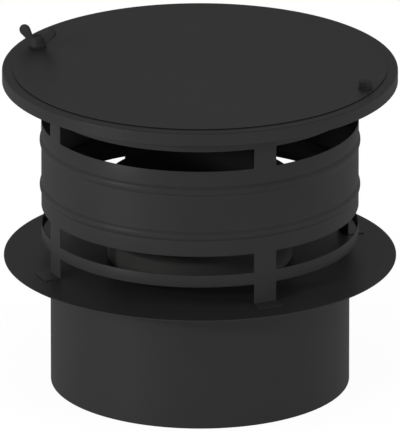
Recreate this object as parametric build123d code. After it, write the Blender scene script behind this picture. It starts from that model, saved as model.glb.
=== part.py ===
from build123d import *
import math
import os

# Chimney top section: a short insulated twin-wall casing, an open cage of sheet rings round
# the end of the flue pipe, and a flat rain hat that swings aside on a pivot bolt.
# Millimetres. Z is up, the origin is the centre of the casing's lower end, and the X axis
# runs through the hat's two bolts: the pivot on +X and the wing nut on -X.

# General fits
SEAT_GAP = 0.05  # between concentric sheet parts that are welded or pushed together
PIN_GAP = 0.08  # radial running clearance of a bolt's shank in a hole that turns or slides on it
BOLT_HOLE_GAP = 0.2  # radial clearance of a bolt in a plain hole that stands still on it
WOOL_GAP = 0.3  # air between the mineral wool and what it lies against

# Insulated casing
CASING_OUTER_R = 125.0
CASING_WALL = 0.8
CASING_HEIGHT = 109.0

# Flue pipe
PIPE_OUTER_R = 76.5
PIPE_WALL = 1.0
PIPE_ABOVE_FLANGE = 68.4
SOCKET_DEPTH = 40.0
SOCKET_SPREAD = 1.25  # how far the socket's bore is wider than the pipe's bore, on the radius
SOCKET_TAPER = 6.0

# Ring plate that closes the casing's lower end
BASE_PLATE = 1.0
BASE_SKIRT = 12.0

# Mineral wool and the clips above it
WOOL_BELOW_CASING_END = 14.0
CLIP_COUNT = 4
CLIP_WIDTH = 15.0
CLIP_SHEET = 0.8
CLIP_LEG = 8.0
CLIP_ABOVE_WOOL = 1.0

# Cover flange on the casing
FLANGE_OVERHANG = 39.0  # beyond the casing, on the radius
FLANGE_SHEET = 1.0
FLANGE_HOLE_GAP = 0.5  # radial slack that lets the hot pipe grow through the flange

# Rings of the cage
RING_OUTER_R = 132.5
RING_SHEET = 0.8
LOWER_RING_ABOVE_FLANGE = 17.6
LOWER_RING_HEIGHT = 10.5
LOWER_GAP = 16.6  # between the lower ring and the band
BAND_HEIGHT = 74.8
BEAD_INSET = 17.7  # from the band's lower and upper edge to the middle of each bead
BEAD_HALF_WIDTH = 4.0
BEAD_RISE = 1.4
UPPER_GAP = 17.2  # between the band and the neck ring
NECK_RING_HEIGHT = 14.4

# Uprights of the cage, of the rings' own sheet and flush with them
UPRIGHT_COUNT = 4
UPRIGHT_FIRST_ANGLE = 45.0
UPRIGHT_WIDTH = 20.0
FOOT_REACH = 13.4  # from the outside of the cage rings to the end of each foot
FOOT_BEND_R = 0.4

# Ring plate on top of the cage
TOP_RING_INSET = 20.5  # inwards from the outside of the cage rings
TOP_RING_LIP = 6.5  # outwards from there
TOP_RING_SHEET = 1.5
EAR_HALF_WIDTH = 10.0
CLAMP_SLOT_HALF_WIDTH = 3.5

# Rain hat
RIM_OVERHANG = 32.5  # beyond the cage rings, on the radius
RIM_WALL_HEIGHT = 11.0
RIM_SHEET = 0.8
RIM_BEND_R = 1.5
RIM_FLANGE_WIDTH = 30.0
RIM_ABOVE_TOP_RING = 1.0  # running gap between the rim's lower edge and the ring plate
LID_INSET = 9.0  # from the rim to the edge of the disc
LID_SHEET = 0.8

# Bolts of the hat, size M6
PIVOT_OUT = 14.5  # from the outside of the cage rings to the pivot bolt's axis
CLAMP_OUT = 12.5  # the same for the clamp bolt, on the other side
SHANK_R = 3.0
HEX_ACROSS_FLATS = 10.0
HEX_CHAMFER_ANGLE = 30.0
BOLT_HEAD_HEIGHT = 4.2
THREAD_END_CHAMFER = 0.6
WASHER_OUTER_R = 6.0
WASHER_THICKNESS = 1.6
SLEEVE_OUTER_R = 6.0
LOCK_NUT_HEX_HEIGHT = 4.5
LOCK_NUT_COLLAR_HEIGHT = 1.5
LOCK_NUT_COLLAR_R = 4.4
PIVOT_BOLT_TAIL = 1.5  # thread that shows under the lock nut

# Clamp bolt, its sleeve and the wing nut
CUP_HEAD_R = 6.8
CUP_HEAD_HEIGHT = 3.3
SQUARE_NECK = 5.8
SQUARE_NECK_HEIGHT = 4.0
SQUARE_NECK_GAP = 0.4  # from the corners of the square neck to the sleeve's bore
CLAMP_SLEEVE_WALL = 2.0
CLAMP_HOLE_GAP = 0.5
CLAMP_WASHER_OUTER_R = 7.3
CLAMP_WASHER_THICKNESS = 1.0
CLAMP_BOLT_BELOW_HUB = 0.4  # the thread's end stops this far under the hub's upper face
HUB_BASE_R = 7.2
HUB_TOP_R = 5.5
HUB_HEIGHT = 8.0
WING_THICKNESS = 2.4
WING_LOBE_R = 4.9
WING_LOBE_OUT = 11.5  # from the nut's axis to the middle of each lobe
WING_LOBE_UP = 12.1  # from the nut's base to the middle of each lobe
WING_ROOT_OUT = 5.2  # from the nut's axis to the wing's root, inside the hub
WING_ROOT_LOW = 0.6
WING_ROOT_HIGH = 7.4
WING_EDGE_R = 0.9

# Levels and radii that follow from the sizes above
CASING_INNER_R = CASING_OUTER_R - CASING_WALL
FLANGE_R = CASING_OUTER_R + FLANGE_OVERHANG
FLANGE_TOP_Z = CASING_HEIGHT + FLANGE_SHEET
WOOL_TOP_Z = CASING_HEIGHT - WOOL_BELOW_CASING_END
PIPE_TOP_Z = FLANGE_TOP_Z + PIPE_ABOVE_FLANGE
PIPE_BORE_R = PIPE_OUTER_R - PIPE_WALL
SOCKET_BORE_R = PIPE_BORE_R + SOCKET_SPREAD
SOCKET_OUTER_R = SOCKET_BORE_R + PIPE_WALL
RING_INNER_R = RING_OUTER_R - RING_SHEET
LOWER_RING_Z = FLANGE_TOP_Z + LOWER_RING_ABOVE_FLANGE
BAND_Z = LOWER_RING_Z + LOWER_RING_HEIGHT + LOWER_GAP
BAND_TOP_Z = BAND_Z + BAND_HEIGHT
NECK_RING_Z = BAND_TOP_Z + UPPER_GAP
TOP_RING_INNER_R = RING_OUTER_R - TOP_RING_INSET
TOP_RING_OUTER_R = RING_OUTER_R + TOP_RING_LIP
TOP_RING_Z = NECK_RING_Z + NECK_RING_HEIGHT
TOP_RING_TOP_Z = TOP_RING_Z + TOP_RING_SHEET
RIM_OUTER_R = RING_OUTER_R + RIM_OVERHANG
RIM_FLANGE_INNER_R = RIM_OUTER_R - RIM_FLANGE_WIDTH
LID_R = RIM_OUTER_R - LID_INSET
PIVOT_X = RING_OUTER_R + PIVOT_OUT
CLAMP_X = -(RING_OUTER_R + CLAMP_OUT)
RIM_LOW_Z = TOP_RING_TOP_Z + RIM_ABOVE_TOP_RING
RIM_TOP_Z = RIM_LOW_Z + RIM_WALL_HEIGHT
RIM_UNDER_Z = RIM_TOP_Z - RIM_SHEET
LID_TOP_Z = RIM_TOP_Z + LID_SHEET
SLEEVE_LENGTH = RIM_UNDER_Z - TOP_RING_TOP_Z
WING_NUT_Z = LID_TOP_Z + CLAMP_WASHER_THICKNESS
CLAMP_SLEEVE_BORE_R = SQUARE_NECK / math.sqrt(2) + SQUARE_NECK_GAP


def at(x, z):
    """A place on the bolts' X axis, at height z."""
    return Pos(x, 0, z)


def turned(outline):
    """Revolve a closed outline of (radius, height) points round the Z axis."""
    face = make_face(Polyline(*outline, close=True))
    return revolve(Plane.XZ * face, Axis.Z)


def sheet_tube(outer_r, wall, low, high):
    """A plain sheet tube about the Z axis."""
    inner_r = outer_r - wall
    return turned([(inner_r, low), (outer_r, low), (outer_r, high), (inner_r, high)])


def disc_with_hole(outer_r, hole_r, thickness):
    """A flat washer on the XY plane."""
    return extrude(Circle(outer_r) - Circle(hole_r), thickness)


def flat_inside(radius, width):
    """How far out a flat bar of this width lies when its edges reach a round wall from inside."""
    return math.sqrt((radius - SEAT_GAP) ** 2 - (width / 2) ** 2)


def bar_from(outline, width):
    """A flat bar: an outline in the radial plane, made as wide as the bar."""
    face = make_face(Polyline(*outline, close=True))
    return extrude(Plane.XZ * face, width / 2, both=True)


def with_bend(section, inner, outer, sheet, bend_r):
    """Round one bend of a sheet's section, given as its inner corner and its outer corner."""
    for (x, z), radius in ((outer, bend_r + sheet), (inner, bend_r)):
        corner = section.vertices().sort_by_distance(Vector(x, z))[0]
        section = fillet(corner, radius)
    return section


def hexagon(across_flats, height):
    """A hexagon prism with both ends turned off to a cone."""
    corner_r = across_flats / math.sqrt(3)
    prism = extrude(RegularPolygon(corner_r, 6), height)
    flat_r = across_flats / 2
    rise = (corner_r - flat_r) * math.tan(math.radians(HEX_CHAMFER_ANGLE))
    cone = turned([
        (0, 0), (flat_r, 0), (corner_r, rise), (corner_r, height - rise),
        (flat_r, height), (0, height),
    ])
    return prism & cone


def round_array(piece, count, first_angle=0.0):
    """Copies of a piece, evenly spaced round the Z axis."""
    step = 360.0 / count
    return [Rot(0, 0, first_angle + step * index) * piece for index in range(count)]


# Insulated casing

def outer_casing():
    return sheet_tube(CASING_OUTER_R, CASING_WALL, 0, CASING_HEIGHT)


def base_ring():
    inner_r = SOCKET_OUTER_R + SEAT_GAP
    outer_r = CASING_INNER_R - SEAT_GAP
    skirt_z = BASE_PLATE + BASE_SKIRT
    return turned([
        (inner_r, 0), (outer_r, 0), (outer_r, skirt_z), (outer_r - BASE_PLATE, skirt_z),
        (outer_r - BASE_PLATE, BASE_PLATE), (inner_r + BASE_PLATE, BASE_PLATE),
        (inner_r + BASE_PLATE, skirt_z), (inner_r, skirt_z),
    ])


def inner_pipe():
    taper_z = SOCKET_DEPTH + SOCKET_TAPER
    return turned([
        (SOCKET_BORE_R, 0), (SOCKET_OUTER_R, 0), (SOCKET_OUTER_R, SOCKET_DEPTH),
        (PIPE_OUTER_R, taper_z), (PIPE_OUTER_R, PIPE_TOP_Z), (PIPE_BORE_R, PIPE_TOP_Z),
        (PIPE_BORE_R, taper_z), (SOCKET_BORE_R, SOCKET_DEPTH),
    ])


def insulation():
    skirt_z = BASE_PLATE + BASE_SKIRT + WOOL_GAP
    low_z = BASE_PLATE + WOOL_GAP
    taper_z = SOCKET_DEPTH + SOCKET_TAPER
    outer_r = CASING_INNER_R - WOOL_GAP
    narrow_outer_r = CASING_INNER_R - SEAT_GAP - BASE_PLATE - WOOL_GAP
    narrow_inner_r = SOCKET_OUTER_R + SEAT_GAP + BASE_PLATE + WOOL_GAP
    socket_r = SOCKET_OUTER_R + WOOL_GAP
    pipe_r = PIPE_OUTER_R + WOOL_GAP
    return turned([
        (narrow_inner_r, low_z), (narrow_outer_r, low_z), (narrow_outer_r, skirt_z),
        (outer_r, skirt_z), (outer_r, WOOL_TOP_Z), (pipe_r, WOOL_TOP_Z),
        (pipe_r, taper_z), (socket_r, SOCKET_DEPTH), (socket_r, skirt_z),
        (narrow_inner_r, skirt_z),
    ])


def centring_clips():
    pipe_side = PIPE_OUTER_R + SEAT_GAP
    casing_side = flat_inside(CASING_INNER_R, CLIP_WIDTH)
    low_z = WOOL_TOP_Z + CLIP_ABOVE_WOOL
    leg_z = low_z + CLIP_LEG
    clip = bar_from([
        (pipe_side, low_z), (casing_side, low_z), (casing_side, leg_z),
        (casing_side - CLIP_SHEET, leg_z), (casing_side - CLIP_SHEET, low_z + CLIP_SHEET),
        (pipe_side + CLIP_SHEET, low_z + CLIP_SHEET), (pipe_side + CLIP_SHEET, leg_z),
        (pipe_side, leg_z),
    ], CLIP_WIDTH)
    return Compound(children=round_array(clip, CLIP_COUNT))


def flange_plate():
    plate = disc_with_hole(FLANGE_R, PIPE_OUTER_R + FLANGE_HOLE_GAP, FLANGE_SHEET)
    return Pos(0, 0, CASING_HEIGHT) * plate


# Cage

def upright_piece(section):
    """A section of the cage's sheet turned through one upright's width, centred on the X axis."""
    half_angle = math.degrees(math.asin(UPRIGHT_WIDTH / 2 / RING_OUTER_R))
    return Rot(0, 0, -half_angle) * revolve(Plane.XZ * section, Axis.Z, 2 * half_angle)


def upright():
    """The sheet that joins flange, rings and band at one place, with a foot turned outwards."""
    foot_z = FLANGE_TOP_Z + RING_SHEET
    foot_r = RING_OUTER_R + FOOT_REACH
    top_z = LOWER_RING_Z - SEAT_GAP
    foot = make_face(Polyline(
        (RING_INNER_R, FLANGE_TOP_Z), (foot_r, FLANGE_TOP_Z), (foot_r, foot_z),
        (RING_OUTER_R, foot_z), (RING_OUTER_R, top_z), (RING_INNER_R, top_z), close=True,
    ))
    inner = (RING_OUTER_R, foot_z)
    outer = (RING_INNER_R, FLANGE_TOP_Z)
    pieces = [upright_piece(with_bend(foot, inner, outer, RING_SHEET, FOOT_BEND_R))]
    for low_z, high_z in ((LOWER_RING_Z + LOWER_RING_HEIGHT, BAND_Z), (BAND_TOP_Z, NECK_RING_Z)):
        wall = make_face(Polyline(
            (RING_INNER_R, low_z + SEAT_GAP), (RING_OUTER_R, low_z + SEAT_GAP),
            (RING_OUTER_R, high_z - SEAT_GAP), (RING_INNER_R, high_z - SEAT_GAP), close=True,
        ))
        pieces.append(upright_piece(wall))
    return Compound(children=pieces)


def lower_ring():
    return sheet_tube(RING_OUTER_R, RING_SHEET, LOWER_RING_Z, LOWER_RING_Z + LOWER_RING_HEIGHT)


def beaded_line(radius, low, high, beads):
    """The band's wall line from its lower to its upper edge, bulged outwards at each bead."""
    pieces = []
    start = low
    for middle in beads:
        before = (radius, middle - BEAD_HALF_WIDTH)
        after = (radius, middle + BEAD_HALF_WIDTH)
        pieces.append(Line((radius, start), before))
        pieces.append(ThreePointArc(before, (radius + BEAD_RISE, middle), after))
        start = after[1]
    pieces.append(Line((radius, start), (radius, high)))
    return pieces


def wind_band():
    beads = (BAND_Z + BEAD_INSET, BAND_TOP_Z - BEAD_INSET)
    edges = beaded_line(RING_OUTER_R, BAND_Z, BAND_TOP_Z, beads)
    edges += beaded_line(RING_INNER_R, BAND_Z, BAND_TOP_Z, beads)
    edges.append(Line((RING_INNER_R, BAND_Z), (RING_OUTER_R, BAND_Z)))
    edges.append(Line((RING_INNER_R, BAND_TOP_Z), (RING_OUTER_R, BAND_TOP_Z)))
    return revolve(Plane.XZ * make_face(Curve() + edges), Axis.Z)


def neck_ring():
    return sheet_tube(RING_OUTER_R, RING_SHEET, NECK_RING_Z, NECK_RING_Z + NECK_RING_HEIGHT)


def ear(bolt_x):
    """The outline that joins a bolt's place to the ring plate, round at its end."""
    root_x = math.copysign((TOP_RING_INNER_R + TOP_RING_OUTER_R) / 2, bolt_x)
    neck = Rectangle(abs(bolt_x - root_x), 2 * EAR_HALF_WIDTH)
    return Pos(bolt_x, 0) * Circle(EAR_HALF_WIDTH) + Pos((bolt_x + root_x) / 2, 0) * neck


def top_ring():
    outline = Circle(TOP_RING_OUTER_R) - Circle(TOP_RING_INNER_R) + ear(PIVOT_X) + ear(CLAMP_X)
    outline -= Pos(PIVOT_X, 0) * Circle(SHANK_R + BOLT_HOLE_GAP)
    slot_length = CLAMP_SLOT_HALF_WIDTH + 2 * EAR_HALF_WIDTH
    slot = Rectangle(2 * CLAMP_SLOT_HALF_WIDTH, slot_length, align=(Align.CENTER, Align.MAX))
    outline -= Pos(CLAMP_X, CLAMP_SLOT_HALF_WIDTH) * slot
    return Pos(0, 0, TOP_RING_Z) * extrude(outline, TOP_RING_SHEET)


# Rain hat

def bolt_holes(low, high):
    """The two holes that the hat's sheets share, as solids to cut away."""
    pivot = extrude(Circle(SHANK_R + PIN_GAP), high - low)
    clamp = extrude(Circle(SHANK_R + CLAMP_HOLE_GAP), high - low)
    return at(PIVOT_X, low) * pivot + at(CLAMP_X, low) * clamp


def rim_ring():
    wall_r = RIM_OUTER_R - RIM_SHEET
    section = make_face(Polyline(
        (wall_r, RIM_LOW_Z), (RIM_OUTER_R, RIM_LOW_Z), (RIM_OUTER_R, RIM_TOP_Z),
        (RIM_FLANGE_INNER_R, RIM_TOP_Z), (RIM_FLANGE_INNER_R, RIM_UNDER_Z),
        (wall_r, RIM_UNDER_Z), close=True,
    ))
    inner = (wall_r, RIM_UNDER_Z)
    outer = (RIM_OUTER_R, RIM_TOP_Z)
    section = with_bend(section, inner, outer, RIM_SHEET, RIM_BEND_R - RIM_SHEET)
    return revolve(Plane.XZ * section, Axis.Z) - bolt_holes(RIM_UNDER_Z, RIM_TOP_Z)


def lid_disc():
    disc = extrude(Circle(LID_R), LID_SHEET)
    return Pos(0, 0, RIM_TOP_Z) * disc - bolt_holes(RIM_TOP_Z, LID_TOP_Z)


# Pivot of the hat

def pivot_bolt():
    head_z = LID_TOP_Z + WASHER_THICKNESS
    nut_low_z = TOP_RING_Z - WASHER_THICKNESS - LOCK_NUT_HEX_HEIGHT - LOCK_NUT_COLLAR_HEIGHT
    end_z = nut_low_z - PIVOT_BOLT_TAIL
    shank = turned([
        (0, end_z), (SHANK_R - THREAD_END_CHAMFER, end_z), (SHANK_R, end_z + THREAD_END_CHAMFER),
        (SHANK_R, head_z), (0, head_z),
    ])
    head = Pos(0, 0, head_z) * hexagon(HEX_ACROSS_FLATS, BOLT_HEAD_HEIGHT)
    return at(PIVOT_X, 0) * (shank + head)


def pivot_washer(low_z):
    hole_r = SHANK_R + BOLT_HOLE_GAP
    return at(PIVOT_X, low_z) * disc_with_hole(WASHER_OUTER_R, hole_r, WASHER_THICKNESS)


def pivot_washer_top():
    return pivot_washer(LID_TOP_Z)


def pivot_washer_bottom():
    return pivot_washer(TOP_RING_Z - WASHER_THICKNESS)


def pivot_sleeve():
    hole_r = SHANK_R + BOLT_HOLE_GAP
    return at(PIVOT_X, TOP_RING_TOP_Z) * disc_with_hole(SLEEVE_OUTER_R, hole_r, SLEEVE_LENGTH)


def pivot_nut():
    hex_z = TOP_RING_Z - WASHER_THICKNESS - LOCK_NUT_HEX_HEIGHT
    body = Pos(0, 0, hex_z) * hexagon(HEX_ACROSS_FLATS, LOCK_NUT_HEX_HEIGHT)
    collar_z = hex_z - LOCK_NUT_COLLAR_HEIGHT
    collar = Pos(0, 0, collar_z) * extrude(Circle(LOCK_NUT_COLLAR_R), LOCK_NUT_COLLAR_HEIGHT)
    height = LOCK_NUT_HEX_HEIGHT + LOCK_NUT_COLLAR_HEIGHT
    bore = Pos(0, 0, collar_z) * extrude(Circle(SHANK_R + SEAT_GAP), height)
    return at(PIVOT_X, 0) * (body + collar - bore)


# Clamp of the hat

def clamp_bolt():
    end_z = WING_NUT_Z + HUB_HEIGHT - CLAMP_BOLT_BELOW_HUB
    cap_r = (CUP_HEAD_R ** 2 + CUP_HEAD_HEIGHT ** 2) / (2 * CUP_HEAD_HEIGHT)
    ball = Pos(0, 0, TOP_RING_Z - CUP_HEAD_HEIGHT + cap_r) * Sphere(cap_r)
    below = Pos(0, 0, TOP_RING_Z - CUP_HEAD_HEIGHT) * extrude(Circle(CUP_HEAD_R), CUP_HEAD_HEIGHT)
    square = extrude(Rectangle(SQUARE_NECK, SQUARE_NECK), SQUARE_NECK_HEIGHT)
    shank = turned([
        (0, TOP_RING_Z), (SHANK_R, TOP_RING_Z), (SHANK_R, end_z - THREAD_END_CHAMFER),
        (SHANK_R - THREAD_END_CHAMFER, end_z), (0, end_z),
    ])
    return at(CLAMP_X, 0) * ((ball & below) + Pos(0, 0, TOP_RING_Z) * square + shank)


def clamp_sleeve():
    outer_r = CLAMP_SLEEVE_BORE_R + CLAMP_SLEEVE_WALL
    return at(CLAMP_X, TOP_RING_TOP_Z) * disc_with_hole(outer_r, CLAMP_SLEEVE_BORE_R, SLEEVE_LENGTH)


def clamp_washer():
    hole_r = SHANK_R + BOLT_HOLE_GAP
    washer = disc_with_hole(CLAMP_WASHER_OUTER_R, hole_r, CLAMP_WASHER_THICKNESS)
    return at(CLAMP_X, LID_TOP_Z) * washer


def touch_point(start, middle, radius, side):
    """Where a line from start runs smoothly into a circle, on its left (1) or its right (-1)."""
    out = middle[0] - start[0]
    up = middle[1] - start[1]
    reach = math.hypot(out, up)
    angle = math.atan2(up, out) + side * math.asin(radius / reach)
    length = math.sqrt(reach ** 2 - radius ** 2)
    return (start[0] + length * math.cos(angle), start[1] + length * math.sin(angle))


def wing_outline():
    """One wing in the (out, up) plane: a neck that widens from the hub into a round lobe."""
    lobe = (WING_LOBE_OUT, WING_LOBE_UP)
    low = (WING_ROOT_OUT, WING_ROOT_LOW)
    high = (WING_ROOT_OUT, WING_ROOT_HIGH)
    lean = math.atan2(lobe[1] - (low[1] + high[1]) / 2, lobe[0] - WING_ROOT_OUT)
    tip = (lobe[0] + WING_LOBE_R * math.cos(lean), lobe[1] + WING_LOBE_R * math.sin(lean))
    low_touch = touch_point(low, lobe, WING_LOBE_R, -1)
    high_touch = touch_point(high, lobe, WING_LOBE_R, 1)
    edges = [Line(high, low), Line(low, low_touch), ThreePointArc(low_touch, tip, high_touch)]
    edges.append(Line(high_touch, high))
    return make_face(Curve() + edges)


def wing_nut():
    hub = turned([(0, 0), (HUB_BASE_R, 0), (HUB_TOP_R, HUB_HEIGHT), (0, HUB_HEIGHT)])
    wing = extrude(Plane.XZ * wing_outline(), WING_THICKNESS / 2, both=True)
    flat_rims = wing.faces().filter_by(Axis.Y).edges()
    outer_rims = flat_rims.filter_by(lambda edge: edge.center().X > WING_ROOT_OUT + SEAT_GAP)
    wing = fillet(outer_rims, WING_EDGE_R)
    nut = hub + wing + Rot(0, 0, 180) * wing
    nut -= extrude(Circle(SHANK_R + PIN_GAP), HUB_HEIGHT)
    return at(CLAMP_X, WING_NUT_Z) * nut


PARTS = {
    "outer_casing": outer_casing,
    "base_ring": base_ring,
    "inner_pipe": inner_pipe,
    "insulation": insulation,
    "centring_clips": centring_clips,
    "flange_plate": flange_plate,
    "lower_ring": lower_ring,
    "wind_band": wind_band,
    "neck_ring": neck_ring,
    "top_ring": top_ring,
    "rim_ring": rim_ring,
    "lid_disc": lid_disc,
    "pivot_bolt": pivot_bolt,
    "pivot_washer_top": pivot_washer_top,
    "pivot_washer_bottom": pivot_washer_bottom,
    "pivot_sleeve": pivot_sleeve,
    "pivot_nut": pivot_nut,
    "clamp_bolt": clamp_bolt,
    "clamp_sleeve": clamp_sleeve,
    "clamp_washer": clamp_washer,
    "wing_nut": wing_nut,
}

os.makedirs("parts", exist_ok=True)
for name, build in PARTS.items():
    export_step(build(), f"parts/{name}.step")
uprights = round_array(upright(), UPRIGHT_COUNT, UPRIGHT_FIRST_ANGLE)
for number, piece in enumerate(uprights, start=1):
    export_step(piece, f"parts/upright_{number}.step")
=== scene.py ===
"""Looks of a round chimney top section: an insulated casing, an open cage of rings and a rain hat.

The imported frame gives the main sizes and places. Each sub-assembly of the object is a class that
turns, bends or casts the finer meshes that stand for its solids and dresses them.
Lengths are metres. Z is up, the hat's pivot bolt stands at +X and its wing nut at -X.
"""

import logging
import math
from collections.abc import Callable, Sequence
from dataclasses import dataclass
from enum import Enum
from functools import cache

import bmesh
import bpy
import numpy as np
from bpy.types import ID, Material, Node, NodeSocket, NodeTree, Object
from mathutils import Matrix, Vector, noise


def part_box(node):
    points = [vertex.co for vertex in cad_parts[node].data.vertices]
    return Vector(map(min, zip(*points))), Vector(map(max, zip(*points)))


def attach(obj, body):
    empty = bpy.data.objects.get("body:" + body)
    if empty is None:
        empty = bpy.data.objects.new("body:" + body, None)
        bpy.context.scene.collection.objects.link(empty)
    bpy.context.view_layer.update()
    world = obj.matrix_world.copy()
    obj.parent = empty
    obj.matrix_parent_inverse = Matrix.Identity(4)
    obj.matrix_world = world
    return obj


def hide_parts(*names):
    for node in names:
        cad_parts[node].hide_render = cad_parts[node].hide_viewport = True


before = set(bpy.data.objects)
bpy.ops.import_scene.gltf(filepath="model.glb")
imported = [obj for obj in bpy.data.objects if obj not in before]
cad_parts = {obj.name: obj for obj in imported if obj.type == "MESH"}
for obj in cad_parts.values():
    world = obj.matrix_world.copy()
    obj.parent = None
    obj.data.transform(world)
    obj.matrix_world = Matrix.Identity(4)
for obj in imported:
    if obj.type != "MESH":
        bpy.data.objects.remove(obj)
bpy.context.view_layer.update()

log = logging.getLogger("chimney_top")

MM = 0.001
IMAGE_WIDTH = 400
IMAGE_HEIGHT = 431

RING_FACETS = 288  # round the large sheet rings
BOLT_FACETS = 72  # round bolts, nuts and washers, a multiple of 12 for hexagons and square neck
BEND_STEP = math.radians(12)  # turn of one facet in a rounded edge or bend
SHARP_ANGLE = math.radians(32)  # edges that turn more than this are shaded sharp
FLAT_ANGLE = math.radians(1)  # faces that turn less than this are one flat face
WELD_DISTANCE = 1e-7  # corners nearer than this are one
CAD_WELD_DISTANCE = 1e-6  # and in a copy of a CAD node's mesh
SHEET_EDGE = 0.22 * MM  # rounding of a sheared and coated sheet edge
SAME = 0.02 * MM  # two heights or radii this near each other are the same
SEAM_MARGIN = 1 * MM  # from a weld seam's end to the edge of its wall
THREAD_STEPS = 10  # along one turn of a screw thread
THREAD_DEPTH = 0.6  # of the pitch
THREAD_CHAMFER = 0.6 * MM
RIPPLE_STEPS = 6.0  # along one ripple of a weld seam
RIPPLE_DEPTH = 0.22  # of the seam's height
WHITE = (1, 1, 1, 1)

Point = tuple[float, float]
Outline = Sequence[Point]
Pattern = tuple[Node | NodeSocket, dict]


class Body(Enum):
    """The rigid bodies of the object, as the frame names them."""

    STACK = "stack"
    RAIN_HAT = "rain_hat"
    WING_NUT = "wing_nut"
    CLAMP_BOLT = "clamp_bolt"


class Slot(Enum):
    """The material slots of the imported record."""

    SHEET = "black_sheet"
    PIPE = "black_flue_pipe"
    BLACK_FASTENERS = "black_fasteners"
    ZINC_FASTENERS = "zinc_fasteners"
    ZINC_SHEET = "zinc_sheet"
    WOOL = "mineral_wool"


# Node trees

def linear(colour: str) -> tuple[float, float, float, float]:
    """Turn an sRGB hex colour into linear light.

    Args:
        colour: Six hex digits after a hash mark.

    Returns:
        Red, green, blue and an alpha of one.
    """
    channels = [int(colour[place:place + 2], 16) / 255 for place in (1, 3, 5)]
    light = [c / 12.92 if c <= 0.04045 else ((c + 0.055) / 1.055) ** 2.4 for c in channels]
    return light[0], light[1], light[2], 1.0


def feed(tree: NodeTree, node: Node, inputs: dict) -> None:
    """Give a node's inputs their values and links.

    Args:
        tree: The tree that holds the node.
        node: The node.
        inputs: Values, output sockets or nodes, by the name or number of the input they go to.
            A node stands for its first output.
    """
    for name, value in inputs.items():
        if isinstance(value, Node):
            value = value.outputs[0]
        if isinstance(value, NodeSocket):
            tree.links.new(value, node.inputs[name])
        else:
            node.inputs[name].default_value = value


def add_node(tree: NodeTree, kind: str, inputs: dict | None = None, **settings) -> Node:
    """Add a node with its settings, values and links.

    Args:
        tree: The tree that gets the node.
        kind: The node's type name.
        inputs: What feed() gives its inputs.
        **settings: Properties of the node itself.

    Returns:
        The new node.
    """
    node = tree.nodes.new(kind)
    for name, value in settings.items():
        setattr(node, name, value)
    feed(tree, node, inputs or {})
    return node


# Finishes

@dataclass(frozen=True)
class Finish:
    """What every finish has: a name, two colours, and a pattern that says where each one lies."""

    name: str
    dark: str  # colour where the pattern's tone is zero
    pale: str  # colour where it is one

    def material(self) -> Material:
        """Make the finish's material from its pattern.

        Returns:
            The material.
        """
        material = bpy.data.materials.new(self.name)
        material.use_nodes = True
        tree = material.node_tree
        tone, looks = self.pattern(tree, add_node(tree, "ShaderNodeTexCoord").outputs["Object"])
        colours = {0: tone, 6: linear(self.dark), 7: linear(self.pale)}
        colour = add_node(tree, "ShaderNodeMix", colours, data_type="RGBA").outputs[2]
        feed(tree, tree.nodes["Principled BSDF"], {"Base Color": colour, **looks})
        return material

    def pattern(self, tree: NodeTree, place: NodeSocket) -> Pattern:
        """Add the nodes that differ from finish to finish.

        Args:
            tree: The material's tree.
            place: Gives the object coordinates of a point.

        Returns:
            What gives the tone, and what the shader's other inputs get.
        """
        raise NotImplementedError


@dataclass(frozen=True)
class PowderCoat(Finish):
    """Satin black polyester powder, sprayed on and baked.

    The eye sees an even deep black with a soft sheen, a faint orange peel in reflections
    and a fine grain up close.
    """

    roughness: float
    gloss: float  # share of the smooth skin that baking leaves on top
    gloss_roughness: float
    peel_width: float = 2.2 * MM
    peel_height: float = 0.008 * MM
    grain_width: float = 0.3 * MM
    grain_height: float = 0.002 * MM
    film_width: float = 55 * MM  # size of the areas of thicker and thinner film
    film_range: tuple[float, float] = (0.6, 1.4)  # sums of noise at which the film is thick and thin
    dull_spread: float = 0.05  # how far the grain shifts the roughness

    def pattern(self, tree: NodeTree, place: NodeSocket) -> Pattern:
        """Three sizes of noise: film, peel and grain.

        Args:
            tree: The material's tree.
            place: Gives the object coordinates of a point.

        Returns:
            How thin the film is, with the gloss and relief of the coat.
        """
        film, peel, grain = [
            add_node(tree, "ShaderNodeTexNoise", {"Vector": place, "Scale": 1 / width, "Detail": 2.0})
            for width in (self.film_width, self.peel_width, self.grain_width)
        ]
        cloud = add_node(tree, "ShaderNodeMath", {0: film, 1: grain}, operation="ADD")
        thick, thin = self.film_range
        tone = add_node(tree, "ShaderNodeMapRange", {"Value": cloud, "From Min": thick, "From Max": thin})
        smooth, dull = self.roughness - self.dull_spread, self.roughness + self.dull_spread
        roughness = add_node(tree, "ShaderNodeMapRange", {"Value": grain, "To Min": smooth, "To Max": dull})
        waves = add_node(tree, "ShaderNodeBump", {"Distance": self.peel_height, "Height": peel})
        texture = {"Distance": self.grain_height, "Height": grain, "Normal": waves}
        surface = add_node(tree, "ShaderNodeBump", texture)
        return tone, {
            "Roughness": roughness, "Normal": surface, "Specular IOR Level": 0.0, "Coat Normal": surface,
            "Coat Weight": self.gloss, "Coat Roughness": self.gloss_roughness,
        }


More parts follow.
